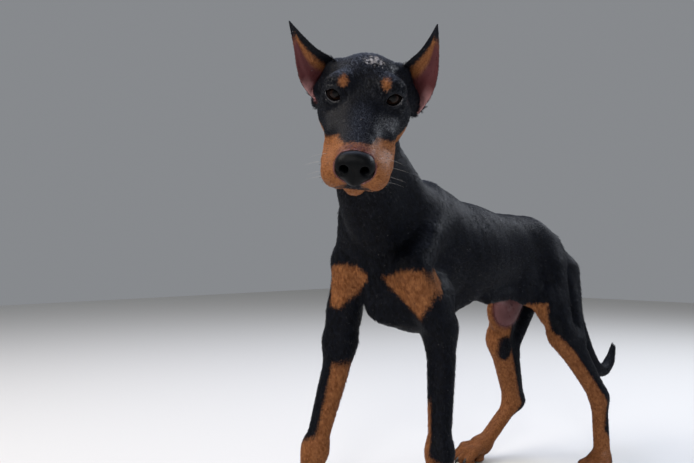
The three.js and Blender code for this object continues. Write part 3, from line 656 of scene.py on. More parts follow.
def ear_mesh(side):
    behind, inside = ear_leaf(side)
    rows, across = behind.shape[0] - 1, behind.shape[1] - 1
    total = behind.shape[0] * behind.shape[1]
    index = np.arange(total).reshape(behind.shape[:2])
    faces = []
    for i in range(rows):
        for j in range(across):
            a, b, c, d = index[i, j], index[i, j + 1], index[i + 1, j + 1], index[i + 1, j]
            faces += [(a, b, c, d), (total + d, total + c, total + b, total + a)]
    rim = [*index[0, :-1], *index[:-1, -1], *index[-1, :0:-1], *index[:0:-1, 0]]
    faces += [(b, a, total + a, total + b) for a, b in zip(rim, rim[1:] + rim[:1])]
    points = np.concatenate([behind.reshape(-1, 3), inside.reshape(-1, 3)])
    ear = mesh_of(f"ear_{side}", to_body(points), faces)
    bm = bmesh.new()
    bm.from_mesh(ear.data)
    bmesh.ops.remove_doubles(bm, verts=bm.verts, dist=1e-6)
    bmesh.ops.recalc_face_normals(bm, faces=bm.faces)
    bm.to_mesh(ear.data)
    bm.free()
    return ear, to_body(inside.reshape(-1, 3)), to_body(behind.reshape(-1, 3))


ear_faces = {}
for side in "lr":
    ear, ear_faces[side, "inside"], ear_faces[side, "behind"] = ear_mesh(side)
    applied(skin, "BOOLEAN", operation="UNION", solver="MANIFOLD", object=ear)
    bpy.data.objects.remove(ear)
skin.data.shade_smooth()


def nearest(points, cloud):
    """Which of a cloud is nearest to each point, and how far off it is."""
    tree = kdtree.KDTree(len(cloud))
    for i, place in enumerate(cloud):
        tree.insert(place, i)
    tree.balance()
    found = [tree.find(p) for p in points]
    return np.array([i for _, i, _ in found]), np.array([d for _, _, d in found])


def in_ear(side, p):
    """Where places lie in an ear: along it and across it, from 0 to 1, and how far in the cup."""
    along, across, cup = np.zeros(len(p)), np.zeros(len(p)), np.full(len(p), -9.0)
    q = to_head(p)
    sign = SIDES[side]
    close = (q[:, 1] > 30) & (sign * q[:, 0] > 28) & (q[:, 2] > -40)
    i, gap = nearest(p[close], ear_faces[side, "inside"])
    _, gap_behind = nearest(p[close], ear_faces[side, "behind"])
    rows = len(ear_faces[side, "inside"]) // EAR_ACROSS
    along[close] = np.clip((i // EAR_ACROSS - 2) / (rows - 3), 0, 1)
    across[close] = (i % EAR_ACROSS) / (EAR_ACROSS - 1)
    cup[close] = np.where(gap < 2.5, gap_behind - gap, -9)
    return along, across, cup


# Markings
# Black hair over the whole dog but for the tan points of the breed: a spot over each eye, the sides of the
# muzzle and throat, two patches on the breast, the insides and lower parts of the legs, and the patch under
# the tail. They are worked out at each point of the skin, and the hairs that grow there take them over.
BREAST_PATCHES = [  # outlines of the two patches, seen from in front: x and z
    [(-62, 304), (-58, 314), (-36, 317), (-17, 315), (-6, 306), (-8, 298), (-23, 290), (-37, 279),
     (-50, 266), (-64, 268)],
    [(13, 304), (30, 307), (48, 311), (64, 311), (65, 288), (58, 272), (43, 255), (35, 264), (28, 277),
     (17, 293)],
]
# How far in the strip of tan on each foreleg begins, and the heights up to which the strip and full tan go
TAN_FORELEG = {"l": (3, 155, 92), "r": (6.5, 195, 104)}


def within_outline(x, z, outline):
    """How far inside a closed outline a place lies, negative outside."""
    corners = np.array(outline, float)
    p = np.stack([x, z], axis=1)
    gap, inside = np.full(len(p), 1e3), np.zeros(len(p), bool)
    for a, b in zip(corners, np.roll(corners, -1, 0)):
        along = b - a
        t = np.clip((p - a) @ along / (along @ along), 0, 1)
        gap = np.minimum(gap, np.linalg.norm(p - a - t[:, None] * along, axis=1))
        crosses = (a[1] > p[:, 1]) != (b[1] > p[:, 1])
        inside ^= crosses & (p[:, 0] < a[0] + along[0] * (p[:, 1] - a[1]) / (along[1] or 1e-9))
    return np.where(inside, gap, -gap)


def from_bone(p, joints):
    """How far a place lies across and behind a run of joints, at its own height."""
    joints = np.array(sorted(joints, key=lambda joint: joint[2]), float)
    return p[:, 0] - np.interp(p[:, 2], joints[:, 2], joints[:, 0]), p[:, 1] - np.interp(
        p[:, 2], joints[:, 2], joints[:, 1])


def tan_on_head(p):
    q = to_head(p)
    m = np.abs(q[:, 0])
    hq = np.stack([m, q[:, 1], q[:, 2]], axis=1)
    inner_edge = np.interp(q[:, 1], [-80, -71, -57, -40, -31], [6, 10, 15.5, 19.5, 24])
    upper_edge = np.interp(q[:, 1], [-50, -31, -8, 6, 14, 26], [-18, -27, -31, -30, -27, -27])
    muzzle = np.minimum(m - inner_edge, upper_edge - q[:, 2])
    throat = -lump((0, 14, -80), (26, 40, 22))(hq)
    tan = np.maximum.reduce([-lump((19.5, -1, 16), (3.7, 12, 4.3))(hq), muzzle,
                             -lump((0, -50, -66), (32, 34, 13))(hq), throat])
    tan = np.minimum(tan, np.maximum(34 - q[:, 1], throat))
    groove = np.where(q[:, 2] > -58.5, 3.6 + 1.1 * np.clip(-50 - q[:, 2], 0, 8) - m, -9)
    groove = np.maximum(groove, 1.6 - mouth_line(q) * 1.3)
    tan = np.where((q[:, 1] < -30) & (q[:, 2] < -44), np.minimum(tan, -groove), tan)
    gap = nose_form(q)
    behind_nose = np.minimum(0.4, (6.5 - gap) * 0.8) - np.clip(-30 - q[:, 2], 0, 8)
    tan = np.where((q[:, 1] < -55) & (q[:, 2] > -40), np.maximum(tan, behind_nose), tan)
    tan = np.minimum(tan, gap * 2 - 1.5)
    return np.where(from_head(q) < HEAD_RADIUS + 6, tan, -8)


def tan_depth(p):
    """How far inside the tan a place lies, in millimetres, negative in the black."""
    tan = np.full(len(p), -8.0)
    close = from_head(to_head(p)) < HEAD_RADIUS + 8
    tan[close] = tan_on_head(p[close])
    for outline, edge in zip(BREAST_PATCHES, ((-78, -80, -84), (-50, -50, -52))):
        front = p[:, 1] < np.interp(p[:, 2], [255, 275, 305], edge)
        tan[front] = np.maximum(tan[front], within_outline(p[front, 0], p[front, 2], outline))
    for side, sign in SIDES.items():
        elbow, wrist, hip, stifle, hock = (JOINT[f"{name}_{side}"] for name in (
            "elbow", "wrist", "hip", "stifle", "hock"))
        paw_at, turn, _ = PAW[f"hind_{side}"]
        across, behind = from_bone(p, [(*PAW[f"front_{side}"][0], 0), wrist, elbow])
        inner = -sign * across
        start, strip_top, full_top = TAN_FORELEG[side]
        strip = np.minimum(inner - start + np.clip(behind - 6, 0, 30) * 0.2, (strip_top - p[:, 2]) * 0.35)
        foreleg = np.maximum(strip, (full_top - p[:, 2]) * 0.5 + 0.25 * inner)
        at_foreleg = (np.abs(behind) < 80) & (p[:, 1] < 40) & (p[:, 2] < 235) & (sign * p[:, 0] > 2)
        tan = np.where(at_foreleg, np.maximum(tan, foreleg), tan)
        across, behind = from_bone(p, [(*paw_at, 0), hock, stifle])
        way = math.radians(turn)
        rear = behind * math.cos(way) - across * math.sin(way)
        inner = -sign * (across * math.cos(way) + behind * math.sin(way))
        band = np.interp(p[:, 2], [40, 70, 115, 160, 190, 215, 240], [30, 6, 5, 1, -2, -14, -26])
        hindleg = (inner - rear) * 0.7 + band
        if side == "r":
            hindleg = np.minimum(np.minimum(7 - rear, inner + 9), (256 - p[:, 2]) * 0.4)
            hindleg = np.minimum(hindleg, lump((-42, 246, 187), (15, 12, 22), (12, 0, 0))(p))
            hindleg = np.maximum(hindleg, (52 - p[:, 2]) * 0.5)
        at_hindleg = (p[:, 1] > 190) & (p[:, 2] < 258) & (sign * p[:, 0] > 14)
        tan = np.where(at_hindleg, np.maximum(tan, hindleg), tan)
    return np.clip(np.maximum(tan, -lump((0, 318, 318), (15, 14, 18))(p)), -8, 8)


EAR_EDGES = [  # how far across each ear, left and right, the tan and the bare skin begin, from root to tip
    {"tan": (0.3, 0.2, 0.2, 0.34), "bare": (0.4, 0.48, 0.56, 0.8)},
    {"tan": (0.4, 0.3, 0.3, 0.42), "bare": (0.42, 0.5, 0.6, 0.8)},
]


def bare(p, ears):
    """How bare the skin is, up to 1, and how pale from there to 2: in ears, groin and round the nose."""
    bareness = np.clip(-lump((-10, 226, 244), (32, 38, 40))(p) / 6 + 0.5, 0, 1) * 1.2
    q = to_head(p)
    gap = np.where((q[:, 1] < -52) & (q[:, 2] > -50), nose_form(q), 99)
    behind_nose = np.clip(1.2 - gap / 6, 0, 0.5) * (gap > 0.2) * np.clip((q[:, 2] + 30) / 6, 0, 1)
    bareness = np.maximum(bareness, np.maximum(behind_nose, 1.4 * ((gap > 0.3) & (gap < 1.1))))
    for (along, across, cup), edges in zip(ears, EAR_EDGES):
        front = across - np.interp(along, [0, 0.3, 0.75, 0.9], edges["bare"])
        inner = np.clip(front * 9 + 0.5, 0, 1) * np.clip(cup / 0.8 + 0.4, 0, 1)
        inner *= np.clip((0.86 - along) * 8, 0, 1)
        pale = np.clip((across - 0.72) * 4, 0, 1) * np.clip((0.3 - along) * 5, 0, 1)
        bareness = np.maximum(bareness, inner * (1 + pale * (cup > -0.5)))
    return bareness


def ear_tan(ears):
    """The tan band inside each ear, along its front edge."""
    depth = np.full(len(ears[0][0]), -8.0)
    for (along, across, cup), edges in zip(ears, EAR_EDGES):
        edge = np.interp(along, [0, 0.12, 0.5, 0.78], edges["tan"])
        band = np.minimum((across - edge) * 30, (0.8 - along) * 40)
        depth = np.where(cup > -0.3, np.maximum(depth, np.minimum(band, cup * 6 + 1)), depth)
    return np.clip(depth, -8, 8)


def mark(obj, name, values):
    layer = obj.data.attributes.new(name, "FLOAT", "POINT")
    layer.data.foreach_set("value", np.asarray(values, np.float32))


def pallor(p):
    """Where grey hairs stand among the black ones on the crown."""
    q = to_head(p)
    crown = np.clip(-lump((6, 28, 29), (10, 10, 9))(q) / 7 + 0.5, 0, 1) * 0.75
    scratch = np.clip(-lump((29.6, 27.8, 16.6), (5, 1.2, 6), (0, 0, 20))(q) / 1.0 + 0.4, 0, 1) * 0.6
    return np.maximum(crown, scratch)


points = places(skin)
ears = [in_ear(side, points) for side in "lr"]
in_cup = (ears[0][2] > 0.2) | (ears[1][2] > 0.2)
mark(skin, "tan", np.maximum(np.where(in_cup, -8, tan_depth(points)), ear_tan(ears)))
mark(skin, "bare", bare(points, ears))
mark(skin, "pale", pallor(points))


def paint(hex_value, alpha=1.0):
    """An sRGB hex colour as linear."""
    parts = [int(hex_value[i:i + 2], 16) / 255 for i in (1, 3, 5)]
    return tuple(c / 12.92 if c <= 0.04045 else ((c + 0.055) / 1.055) ** 2.4 for c in parts) + (alpha,)


def add_node(tree, kind, inputs=None, **settings):
    """Adds a node with its settings, and fills its inputs with values or with the sockets that feed them."""
    node = tree.nodes.new(kind)
    for key, value in settings.items():
        setattr(node, key, value)
    for key, value in (inputs or {}).items():
        if isinstance(value, bpy.types.NodeSocket):
            tree.links.new(value, node.inputs[key])
        else:
            node.inputs[key].default_value = value
    return node


def new_material(name, constants):
    """A material of one shader, with the constants that are given by the names of its sockets."""
    material = bpy.data.materials.new(name)
    material.use_nodes = True
    tree = material.node_tree
    tree.nodes.clear()
    shader = add_node(tree, "ShaderNodeBsdfPrincipled", constants)
    add_node(tree, "ShaderNodeOutputMaterial", {"Surface": shader.outputs[0]})
    return material, tree, shader


def coat_colour(tree, shade):
    """The colour of coat or skin from the markings. Shade goes from darker to lighter hair."""
    where = add_node(tree, "ShaderNodeTexCoord").outputs["Object"]
    marked = {name: add_node(tree, "ShaderNodeAttribute", attribute_name=name).outputs["Fac"]
              for name in ("tan", "bare", "pale")}
    ragged = add_node(tree, "ShaderNodeTexNoise", {"Vector": where, "Scale": 480.0, "Detail": 2.0})
    nudged = add_node(tree, "ShaderNodeMath", {0: ragged.outputs["Fac"], 1: 6.0, 2: marked["tan"]},
                      operation="MULTIPLY_ADD")
    strands = add_node(tree, "ShaderNodeTexNoise", {"Vector": where, "Scale": 330.0, "Detail": 3.0})
    flecked = add_node(tree, "ShaderNodeMath", {0: strands.outputs["Fac"], 1: 2.6, 2: marked["pale"]},
                       operation="MULTIPLY_ADD")
    shares = {}
    for name, value, low, high, kind in (
            ("tan", nudged.outputs[0], 0.6, 5.4, "SMOOTHSTEP"),
            ("bare", marked["bare"], 0.0, 1.0, "LINEAR"),
            ("pale", marked["bare"], 1.0, 2.0, "LINEAR"),
            ("fleck", flecked.outputs[0], 1.85, 2.25, "LINEAR")):
        span = add_node(tree, "ShaderNodeMapRange", {"Value": value, "From Min": low, "From Max": high},
                        interpolation_type=kind)
        shares[name] = span.outputs[0]
    colours = {}
    for name, share, under, over in (
            ("black", shade, paint("#06070a"), paint("#11141d")),
            ("tan", shade, paint("#693c20"), paint("#a06a42")),
            ("pink", shade, paint("#3c1c1d"), paint("#66383a")),
            ("hairy", shares["tan"], "black", "tan"),
            ("bare", shares["pale"], "pink", paint("#b98b8a")),
            ("covered", shares["bare"], "hairy", "bare"),
            ("flecked", shares["fleck"], "covered", paint("#96918f"))):
        mix = add_node(tree, "ShaderNodeMix", {
            0: share, 6: colours.get(under, under), 7: colours.get(over, over)}, data_type="RGBA")
        colours[name] = mix.outputs[2]
    return colours["flecked"]


# Skin seen between the hairs: dull, so that the coat over it looks thick, with a grain of about 1 mm that
# stands for the finest hairs, which are too thin to show
coat_skin, tree, shader = new_material("skin_under_short_coat", {
    "Roughness": 0.48, "Specular IOR Level": 0.16})
where = add_node(tree, "ShaderNodeTexCoord").outputs["Object"]
broad = add_node(tree, "ShaderNodeTexNoise", {"Vector": where, "Scale": 30.0, "Detail": 3.0})
tree.links.new(coat_colour(tree, broad.outputs["Fac"]), shader.inputs["Base Color"])
hair_grain = add_node(tree, "ShaderNodeTexNoise", {"Vector": where, "Scale": 1100.0, "Detail": 2.0})
bump = add_node(tree, "ShaderNodeBump", {
    "Height": hair_grain.outputs["Fac"], "Strength": 0.3, "Distance": 0.0006})
tree.links.new(bump.outputs[0], shader.inputs["Normal"])
skin.data.materials.clear()
skin.data.materials.append(coat_skin)
FLESH_NODES = [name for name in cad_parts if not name.startswith(("eye", "nose", "claw"))]
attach(skin, "root")
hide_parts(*FLESH_NODES)

# Coat
# The short, hard, close-lying coat: tufts of three hairs strewn over the skin, each lying the way the hair
# grows, from 2 mm long on the muzzle to about 10 mm behind the thighs, where it breaks the outline.
COAT_STRETCHES = 7  # lengths in which the coat is made, from the nose to the tail
TUFTS_PER_SQUARE_METRE = 2.5e5  # where the hair is of body length
BODY_HAIR = 6.0
PATCH_SIDE = 0.003  # of a tuft's own place on the coat's map


def lie_of_coat(p, out):
    """The way the hair grows: back over the head and trunk, down the legs, up the ears, along the tail."""
    q = to_head(p)
    side = np.sign(q[:, 0])
    ear = np.clip((np.abs(q[:, 0]) - 31) / 5, 0, 1) * np.clip((q[:, 1] - 36) / 6, 0, 1) * (q[:, 2] > -12)
    on_ear = np.stack([side * 0.55, np.full(len(q), 0.2), np.full(len(q), 1.0)], axis=1)
    upward = np.interp(q[:, 1], [-32, -8, 22, 42], [-0.1, 0.8, 0.7, -0.25])
    upward *= np.clip((q[:, 2] + 12) / 12, 0, 1)
    on_skull = np.stack([side * 0.3, np.full(len(q), 1.0), upward - 0.1 - 0.004 * np.abs(q[:, 0])], axis=1)
    over_head = (on_skull + (on_ear - on_skull) * ear[:, None]) @ HEAD_AXES
    steps = np.gradient(tail_run, axis=0)
    nearest_step, _ = nearest(p, tail_run)
    ways = [(head, over_head), (neck, (-0.3, 0.62, -0.7)), (trunk, (0, 1, -0.24)), (keel, (0, 1, -0.1)),
            (front_of_chest, (0, 0.2, -1)), (tail, steps[nearest_step])]
    ways += [(leg, (0, 0.35 if name.startswith("hind") else 0.15, -1)) for name, leg in legs.items()]
    ways += [(paws[name], -paw_axes(name)[1] * 1.5) for name in paws]
    total = np.zeros_like(p)
    for form, way in ways:
        share = np.exp(-np.maximum(form(p), 0) / 5)
        total += unit(np.broadcast_to(np.array(way, float), p.shape)) * share[:, None]
    return unit(total - out * (total * out).sum(1, keepdims=True))


def hair_length(p, out):
    """Length of the hair in millimetres."""
    q = to_head(p)
    length = np.full(len(p), BODY_HAIR)
    length = np.where((out[:, 2] < -0.5) | (tail(p) < 1), 7.0, length)
    length = np.where((p[:, 1] > 255) & (p[:, 2] > 190) & (out[:, 1] > 0.3), 9.5, length)
    length = np.where((p[:, 1] < 0) & (out[:, 1] < -0.2) & (p[:, 2] > 240), 7.0, length)
    legs_down = np.clip((p[:, 2] - 20) / 180, 0, 1)
    length = np.where(p[:, 2] < 230, np.minimum(length, 3.0 + 3.5 * legs_down), length)
    length = np.where((p[:, 2] > 130) & (p[:, 2] < 250) & (p[:, 1] < 30) & (out[:, 1] > 0.5), 7.5, length)
    face_hair = np.interp(q[:, 1], [-80, -30, 0, 50, 90], [1.9, 2.5, 3.2, 4.4, 6])
    length = np.where(from_head(q) < HEAD_RADIUS + 2, face_hair, length)
    ear = (from_head(q) < HEAD_RADIUS + 18) & (np.abs(q[:, 0]) > 36) & (q[:, 1] > 40) & (q[:, 2] > -30)
    ear_hair = np.interp(q[:, 2], [-26, -12, 0, 20, 46, 56], [5.5, 4.6, 3.2, 2.2, 1.5, 1.0])
    return np.where(ear, ear_hair, length)


def hairless(p, q):
    """Where no hair grows: within the lids, the lips and the nose's hollow, and under the paws."""
    openings = np.minimum(in_opening(q, 1)[0], in_opening(q, -1)[0])
    at_nose = (q[:, 1] < -60) & (nose_form(q) < 1.6) & (q[:, 2] > -60)
    return (openings < 2.0) | at_nose | (mouth_line(q) < 0.6) | (p[:, 2] < 2.5)


p, out = places(skin), read(skin.data.vertices, "normal", 3)
length = hair_length(p, out)
density = TUFTS_PER_SQUARE_METRE * np.clip(BODY_HAIR / length, 0.6, 3) ** 1.35
density[hairless(p, to_head(p))] = 0
density *= np.clip(1.15 - 1.1 * read(skin.data.attributes["bare"].data, "value", kind=np.float32), 0.04, 1)
mark(skin, "hair_length", length / 1000)
mark(skin, "density", density)
skin.data.attributes.new("lie", "FLOAT_VECTOR", "POINT").data.foreach_set(
    "vector", lie_of_coat(p, out).astype(np.float32).ravel())

# Each face is given to one stretch of the coat, so that the stretches hold about as many tufts each
first = read(skin.data.polygons, "loop_start", kind=int)
areas = read(skin.data.polygons, "area")
middles = read(skin.data.polygons, "center", 3) * 1000 - ORIGIN
corner = read(skin.data.loops, "vertex_index", kind=int)
in_head = from_head(to_head(middles)) < HEAD_RADIUS + 4
order = np.argsort(np.where(in_head, to_head(middles)[:, 1] - 1000, middles[:, 1]))
share = np.cumsum((areas * density[corner[first]])[order])
stretch = np.empty(len(first), int)
stretch[order] = np.minimum(share / share[-1] * COAT_STRETCHES, COAT_STRETCHES - 1).astype(int)
skin.data.attributes.new("stretch", "INT", "FACE").data.foreach_set("value", stretch)

# The skin laid out flat, by which every tuft has a place of its own on the coat's map
bpy.context.view_layer.objects.active = skin
skin.select_set(True)
skin.data.uv_layers.new(name="skin_map")
bpy.ops.object.mode_set(mode="EDIT")
bpy.ops.mesh.select_all(action="SELECT")
bpy.ops.uv.smart_project(angle_limit=1.15, island_margin=0.0005)
bpy.ops.object.mode_set(mode="OBJECT")


def tuft_mesh():
    """Three hairs side by side, one unit long, rising from the skin and bending back to it."""
    points, faces = [], []
    for aside, start, reach, lean in (
            (-0.13, 0.04, 0.86, -0.05), (0.0, 0.0, 1.0, 0.02), (0.12, 0.09, 0.8, 0.07)):
        base = len(points)
        for along, wide, rise in ((0, 0.05, 0), (0.5, 0.042, 0.045)):
            for hand in (1, -1):
                points.append((aside + lean * along + hand * wide, rise, start + reach * along))
        points.append((aside + lean, 0.01, start + reach))
        faces += [(base, base + 1, base + 3, base + 2), (base + 2, base + 3, base + 4)]
    mesh = bpy.data.meshes.new("tuft")
    mesh.from_pydata(points, [], faces)
    patch = [((x + 0.25) * 2, z / 1.1, 0) for x, _, z in points]
    mesh.attributes.new("patch", "FLOAT_VECTOR", "POINT").data.foreach_set("vector", np.array(patch).ravel())
    return mesh


def coat_nodes(tuft, hair):
    """Strews tufts over one stretch of the skin, turned the way the hair grows."""
    tree = bpy.data.node_groups.new("short_coat", "GeometryNodeTree")
    tree.interface.new_socket("Skin", in_out="INPUT", socket_type="NodeSocketGeometry")
    tree.interface.new_socket("Stretch", in_out="INPUT", socket_type="NodeSocketInt")
    tree.interface.new_socket("Coat", in_out="OUTPUT", socket_type="NodeSocketGeometry")
    given = add_node(tree, "NodeGroupInput")
    named = {}
    for name, kind in (("stretch", "INT"), ("density", "FLOAT"), ("hair_length", "FLOAT"),
                       ("lie", "FLOAT_VECTOR"), ("patch", "FLOAT_VECTOR"), ("skin_map", "FLOAT_VECTOR")):
        held = add_node(tree, "GeometryNodeInputNamedAttribute", {"Name": name}, data_type=kind)
        named[name] = held.outputs["Attribute"]
    here = add_node(tree, "FunctionNodeCompare", {2: named["stretch"], 3: given.outputs["Stretch"]},
                    data_type="INT", operation="EQUAL")
    roots = add_node(tree, "GeometryNodeDistributePointsOnFaces", {
        "Mesh": given.outputs["Skin"], "Selection": here.outputs[0], "Density": named["density"], "Seed": 7})
    stray = add_node(tree, "FunctionNodeRandomValue", {0: (-0.15,) * 3, 1: (0.15,) * 3, "Seed": 3},
                     data_type="FLOAT_VECTOR")
    lift = add_node(tree, "ShaderNodeVectorMath", {
        0: roots.outputs["Normal"], 1: (0.15,) * 3, 2: stray.outputs[0]}, operation="MULTIPLY_ADD")
    way = add_node(tree, "ShaderNodeVectorMath", {0: named["lie"], 1: lift.outputs[0]})
    along = add_node(tree, "FunctionNodeAlignRotationToVector", {"Vector": way.outputs[0]}, axis="Z")
    turned = add_node(tree, "FunctionNodeAlignRotationToVector", {
        "Rotation": along.outputs[0], "Vector": roots.outputs["Normal"]}, axis="Y", pivot_axis="Z")
    vary = add_node(tree, "FunctionNodeRandomValue", {2: 0.75, 3: 1.2, "Seed": 5}, data_type="FLOAT")
    size = add_node(tree, "ShaderNodeMath", {0: named["hair_length"], 1: vary.outputs[1]},
                    operation="MULTIPLY")
    shade = add_node(tree, "FunctionNodeRandomValue", {2: 0.0, 3: 1.0, "Seed": 11}, data_type="FLOAT")
    shaded = add_node(tree, "GeometryNodeStoreNamedAttribute", {
        "Geometry": roots.outputs["Points"], "Name": "shade", "Value": shade.outputs[1]},
        data_type="FLOAT", domain="POINT")
    shape = add_node(tree, "GeometryNodeObjectInfo", {"Object": tuft})
    tufts = add_node(tree, "GeometryNodeInstanceOnPoints", {
        "Points": shaded.outputs[0], "Instance": shape.outputs["Geometry"], "Rotation": turned.outputs[0],
        "Scale": size.outputs[0]})
    made = add_node(tree, "GeometryNodeRealizeInstances", {"Geometry": tufts.outputs[0]})
    at = add_node(tree, "ShaderNodeVectorMath", {
        0: named["patch"], 1: (PATCH_SIDE,) * 3, 2: named["skin_map"]}, operation="MULTIPLY_ADD")
    mapped = add_node(tree, "GeometryNodeStoreNamedAttribute", {
        "Geometry": made.outputs[0], "Name": "OFBake", "Value": at.outputs[0]},
        data_type="FLOAT2", domain="CORNER")
    coloured = add_node(tree, "GeometryNodeSetMaterial", {"Geometry": mapped.outputs[0], "Material": hair})
    add_node(tree, "NodeGroupOutput", {"Coat": coloured.outputs[0]})
    return tree


# Smooth, oily hair: each tuft a little lighter or darker than the next, with a broad, low sheen on the black
hair, tree, shader = new_material("short_glossy_hair", {"Roughness": 0.52, "Specular IOR Level": 0.08})
shade = add_node(tree, "ShaderNodeAttribute", attribute_name="shade").outputs["Fac"]
tree.links.new(coat_colour(tree, shade), shader.inputs["Base Color"])

tuft = bpy.data.objects.new("tuft", tuft_mesh())
strewn = coat_nodes(tuft, hair)
stretch_socket = next(item.identifier for item in strewn.interface.items_tree if item.name == "Stretch")
for number in range(COAT_STRETCHES):
    coat = in_scene(f"coat_{number + 1}", skin.data)
    modifier = coat.modifiers.new("short_coat", "NODES")
    modifier.node_group = strewn
    modifier[stretch_socket] = number
    mesh = evaluated_mesh(coat)
    coat.modifiers.clear()
    coat.data = mesh
    for name in ("skin_map", "patch", "lie", "hair_length", "density", "stretch"):
        if name in mesh.attributes:
            mesh.attributes.remove(mesh.attributes[name])
    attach(coat, "root")
bpy.data.objects.remove(tuft)

# Nose
# The nose leather: a bare, moist, finely pebbled pad of thick skin with two comma-shaped nostrils and a
# groove down its middle that runs on through the upper lip. It sits in a hollow of the skin.
nostrils = blend(
    2,
    *both(lambda s: taper((s * 9.2, -92, -35.5), (s * 7.2, -78, -33), 4.2, 3.0)),
    *both(lambda s: chain([(s * 9.5, -89.5, -38), (s * 13.2, -86.6, -39.8), (s * 16.2, -82, -38.6),
                           (s * 17, -77, -36)], [2.4, 1.7, 1.4, 1.1])),
)
philtrum = lump((0, -92, -46), (1.3, 5, 12))


def nose_leather(q):
    d = nose_form(q) + 0.15
    d = -meld(-d, nostrils(q), 1.8)
    return -meld(-d, philtrum(q), 2.4)


NOSE_LOW, NOSE_HIGH, NOSE_STEP = (-22, -96, -56), (22, -62, -14), 0.85
points, squares = net_over(nose_leather, NOSE_LOW, NOSE_HIGH, NOSE_STEP)
nose = mesh_of("nose_leather", to_body(drawn_to(nose_leather, points, 3, 0.6)), squares)
# Black leather, moist and finely pebbled, which breaks the light into a soft blue grey
leather, tree, shader = new_material("moist_nose_leather", {
    "Base Color": paint("#050608"), "Roughness": 0.42, "Specular IOR Level": 0.09})
where = add_node(tree, "ShaderNodeTexCoord").outputs["Object"]
pebbles = add_node(tree, "ShaderNodeTexVoronoi", {"Vector": where, "Scale": 1300.0})
bump = add_node(tree, "ShaderNodeBump", {
    "Height": pebbles.outputs["Distance"], "Strength": 0.4, "Distance": 0.0003})
tree.links.new(bump.outputs[0], shader.inputs["Normal"])
nose.data.materials.append(leather)
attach(nose, "root")
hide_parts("nose")

# Eyes
# Dark brown eyes: a wet, clear cornea over the iris and pupil. Each ball is set deep in its socket behind the
# lids, whose edges are a bare black rim.
CAMERA_AT = np.array([536.3, -691.4, 329.0])  # from where the photo was taken, and where the dog looks


def eyeball(side, s):
    """A ball of rings round the line of sight, its cornea standing a little proud."""
    centre = to_body(eye_place(s))
    sight = unit(CAMERA_AT - centre)
    sideways = unit(np.cross(sight, (0, 0, 1)))
    upward = np.cross(sideways, sight)
    rings, spokes = 40, 48
    angles = np.linspace(0, np.pi, rings + 1)
    points, faces, off_axis = [centre + sight * (EYE_RADIUS + 0.2)], [], [0.0]
    for a in angles[1:-1]:
        radius = EYE_RADIUS - 0.6 + 0.8 * np.exp(-(np.degrees(a) / 30) ** 4)
        for k in range(spokes):
            b = 2 * np.pi * k / spokes
            way = sight * math.cos(a) + (sideways * math.cos(b) + upward * math.sin(b)) * math.sin(a)
            points.append(centre + way * radius)
            off_axis.append(a / np.pi)
    points.append(centre - sight * (EYE_RADIUS - 0.6))
    off_axis.append(1.0)
    for k in range(spokes):
        n = (k + 1) % spokes
        faces.append((0, 1 + n, 1 + k))
        last = 1 + (rings - 2) * spokes
        faces.append((len(points) - 1, last + k, last + n))
        for r in range(rings - 2):
            a = 1 + r * spokes
            faces.append((a + k, a + n, a + spokes + n, a + spokes + k))
    ball = mesh_of(f"eyeball_{side}", points, faces)
    mark(ball, "off_axis", off_axis)
    return ball


# Wet and smooth, so that lights stand sharp in it, over a black pupil and a dark brown iris with a darker rim
wet_eye, tree, shader = new_material("wet_dark_brown_eye", {
    "Roughness": 0.03, "IOR": 1.376, "Specular IOR Level": 0.25})
off_axis = add_node(tree, "ShaderNodeAttribute", attribute_name="off_axis").outputs["Fac"]
bands = add_node(tree, "ShaderNodeValToRGB", {"Fac": off_axis})
ramp = bands.color_ramp
stops = [(0.0, "#010102"), (0.09, "#010102"), (0.11, "#120a07"), (0.17, "#21130c"), (0.205, "#0e0806"),
         (0.225, "#060404"), (0.26, "#1c1513"), (1.0, "#4a3f3b")]
for at, colour in stops[1:-1]:
    ramp.elements.new(at).color = paint(colour)
ramp.elements[0].color, ramp.elements[-1].color = paint(stops[0][1]), paint(stops[-1][1])
tree.links.new(bands.outputs[0], shader.inputs["Base Color"])
for side, s in SIDES.items():
    ball = eyeball(side, s)
    ball.data.materials.append(wet_eye)
    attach(ball, "root")
    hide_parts(f"eye_{side}")

# Bare, greasy black skin: a thin line of grey light all round the eye
lid_skin, _, _ = new_material("bare_black_lid_rim", {"Base Color": paint("#1d1a1f"), "Roughness": 0.3})
LID_RIM_RADIUS = 0.75


def tube_over(points, radii, sides=8, closed=False):
    """Points and faces of a tube round a run of places."""
    points = np.array(points, float)
    along = np.roll(points, -1, 0) - np.roll(points, 1, 0) if closed else np.gradient(points, axis=0)
    along = unit(along)
    normal = np.cross(along[0], (0, 0, 1) if abs(along[0][2]) < 0.9 else (1, 0, 0))
    rings = []
    for place, way, radius in zip(points, along, np.broadcast_to(radii, len(points))):
        normal = unit(normal - way * (normal @ way))
        other = np.cross(way, normal)
        turn = np.linspace(0, 2 * np.pi, sides, endpoint=False)
        rings.append(place + radius * (np.outer(np.cos(turn), normal) + np.outer(np.sin(turn), other)))
    total = len(points)
    faces = []
    for i in range(total if closed else total - 1):
        here, ahead = i * sides, (i + 1) % total * sides
        for j in range(sides):
            k = (j + 1) % sides
            faces.append((here + j, here + k, ahead + k, ahead + j))
    if not closed:
        faces += [tuple(range(sides))[::-1], tuple(range((total - 1) * sides, total * sides))]
    return np.concatenate(rings), faces


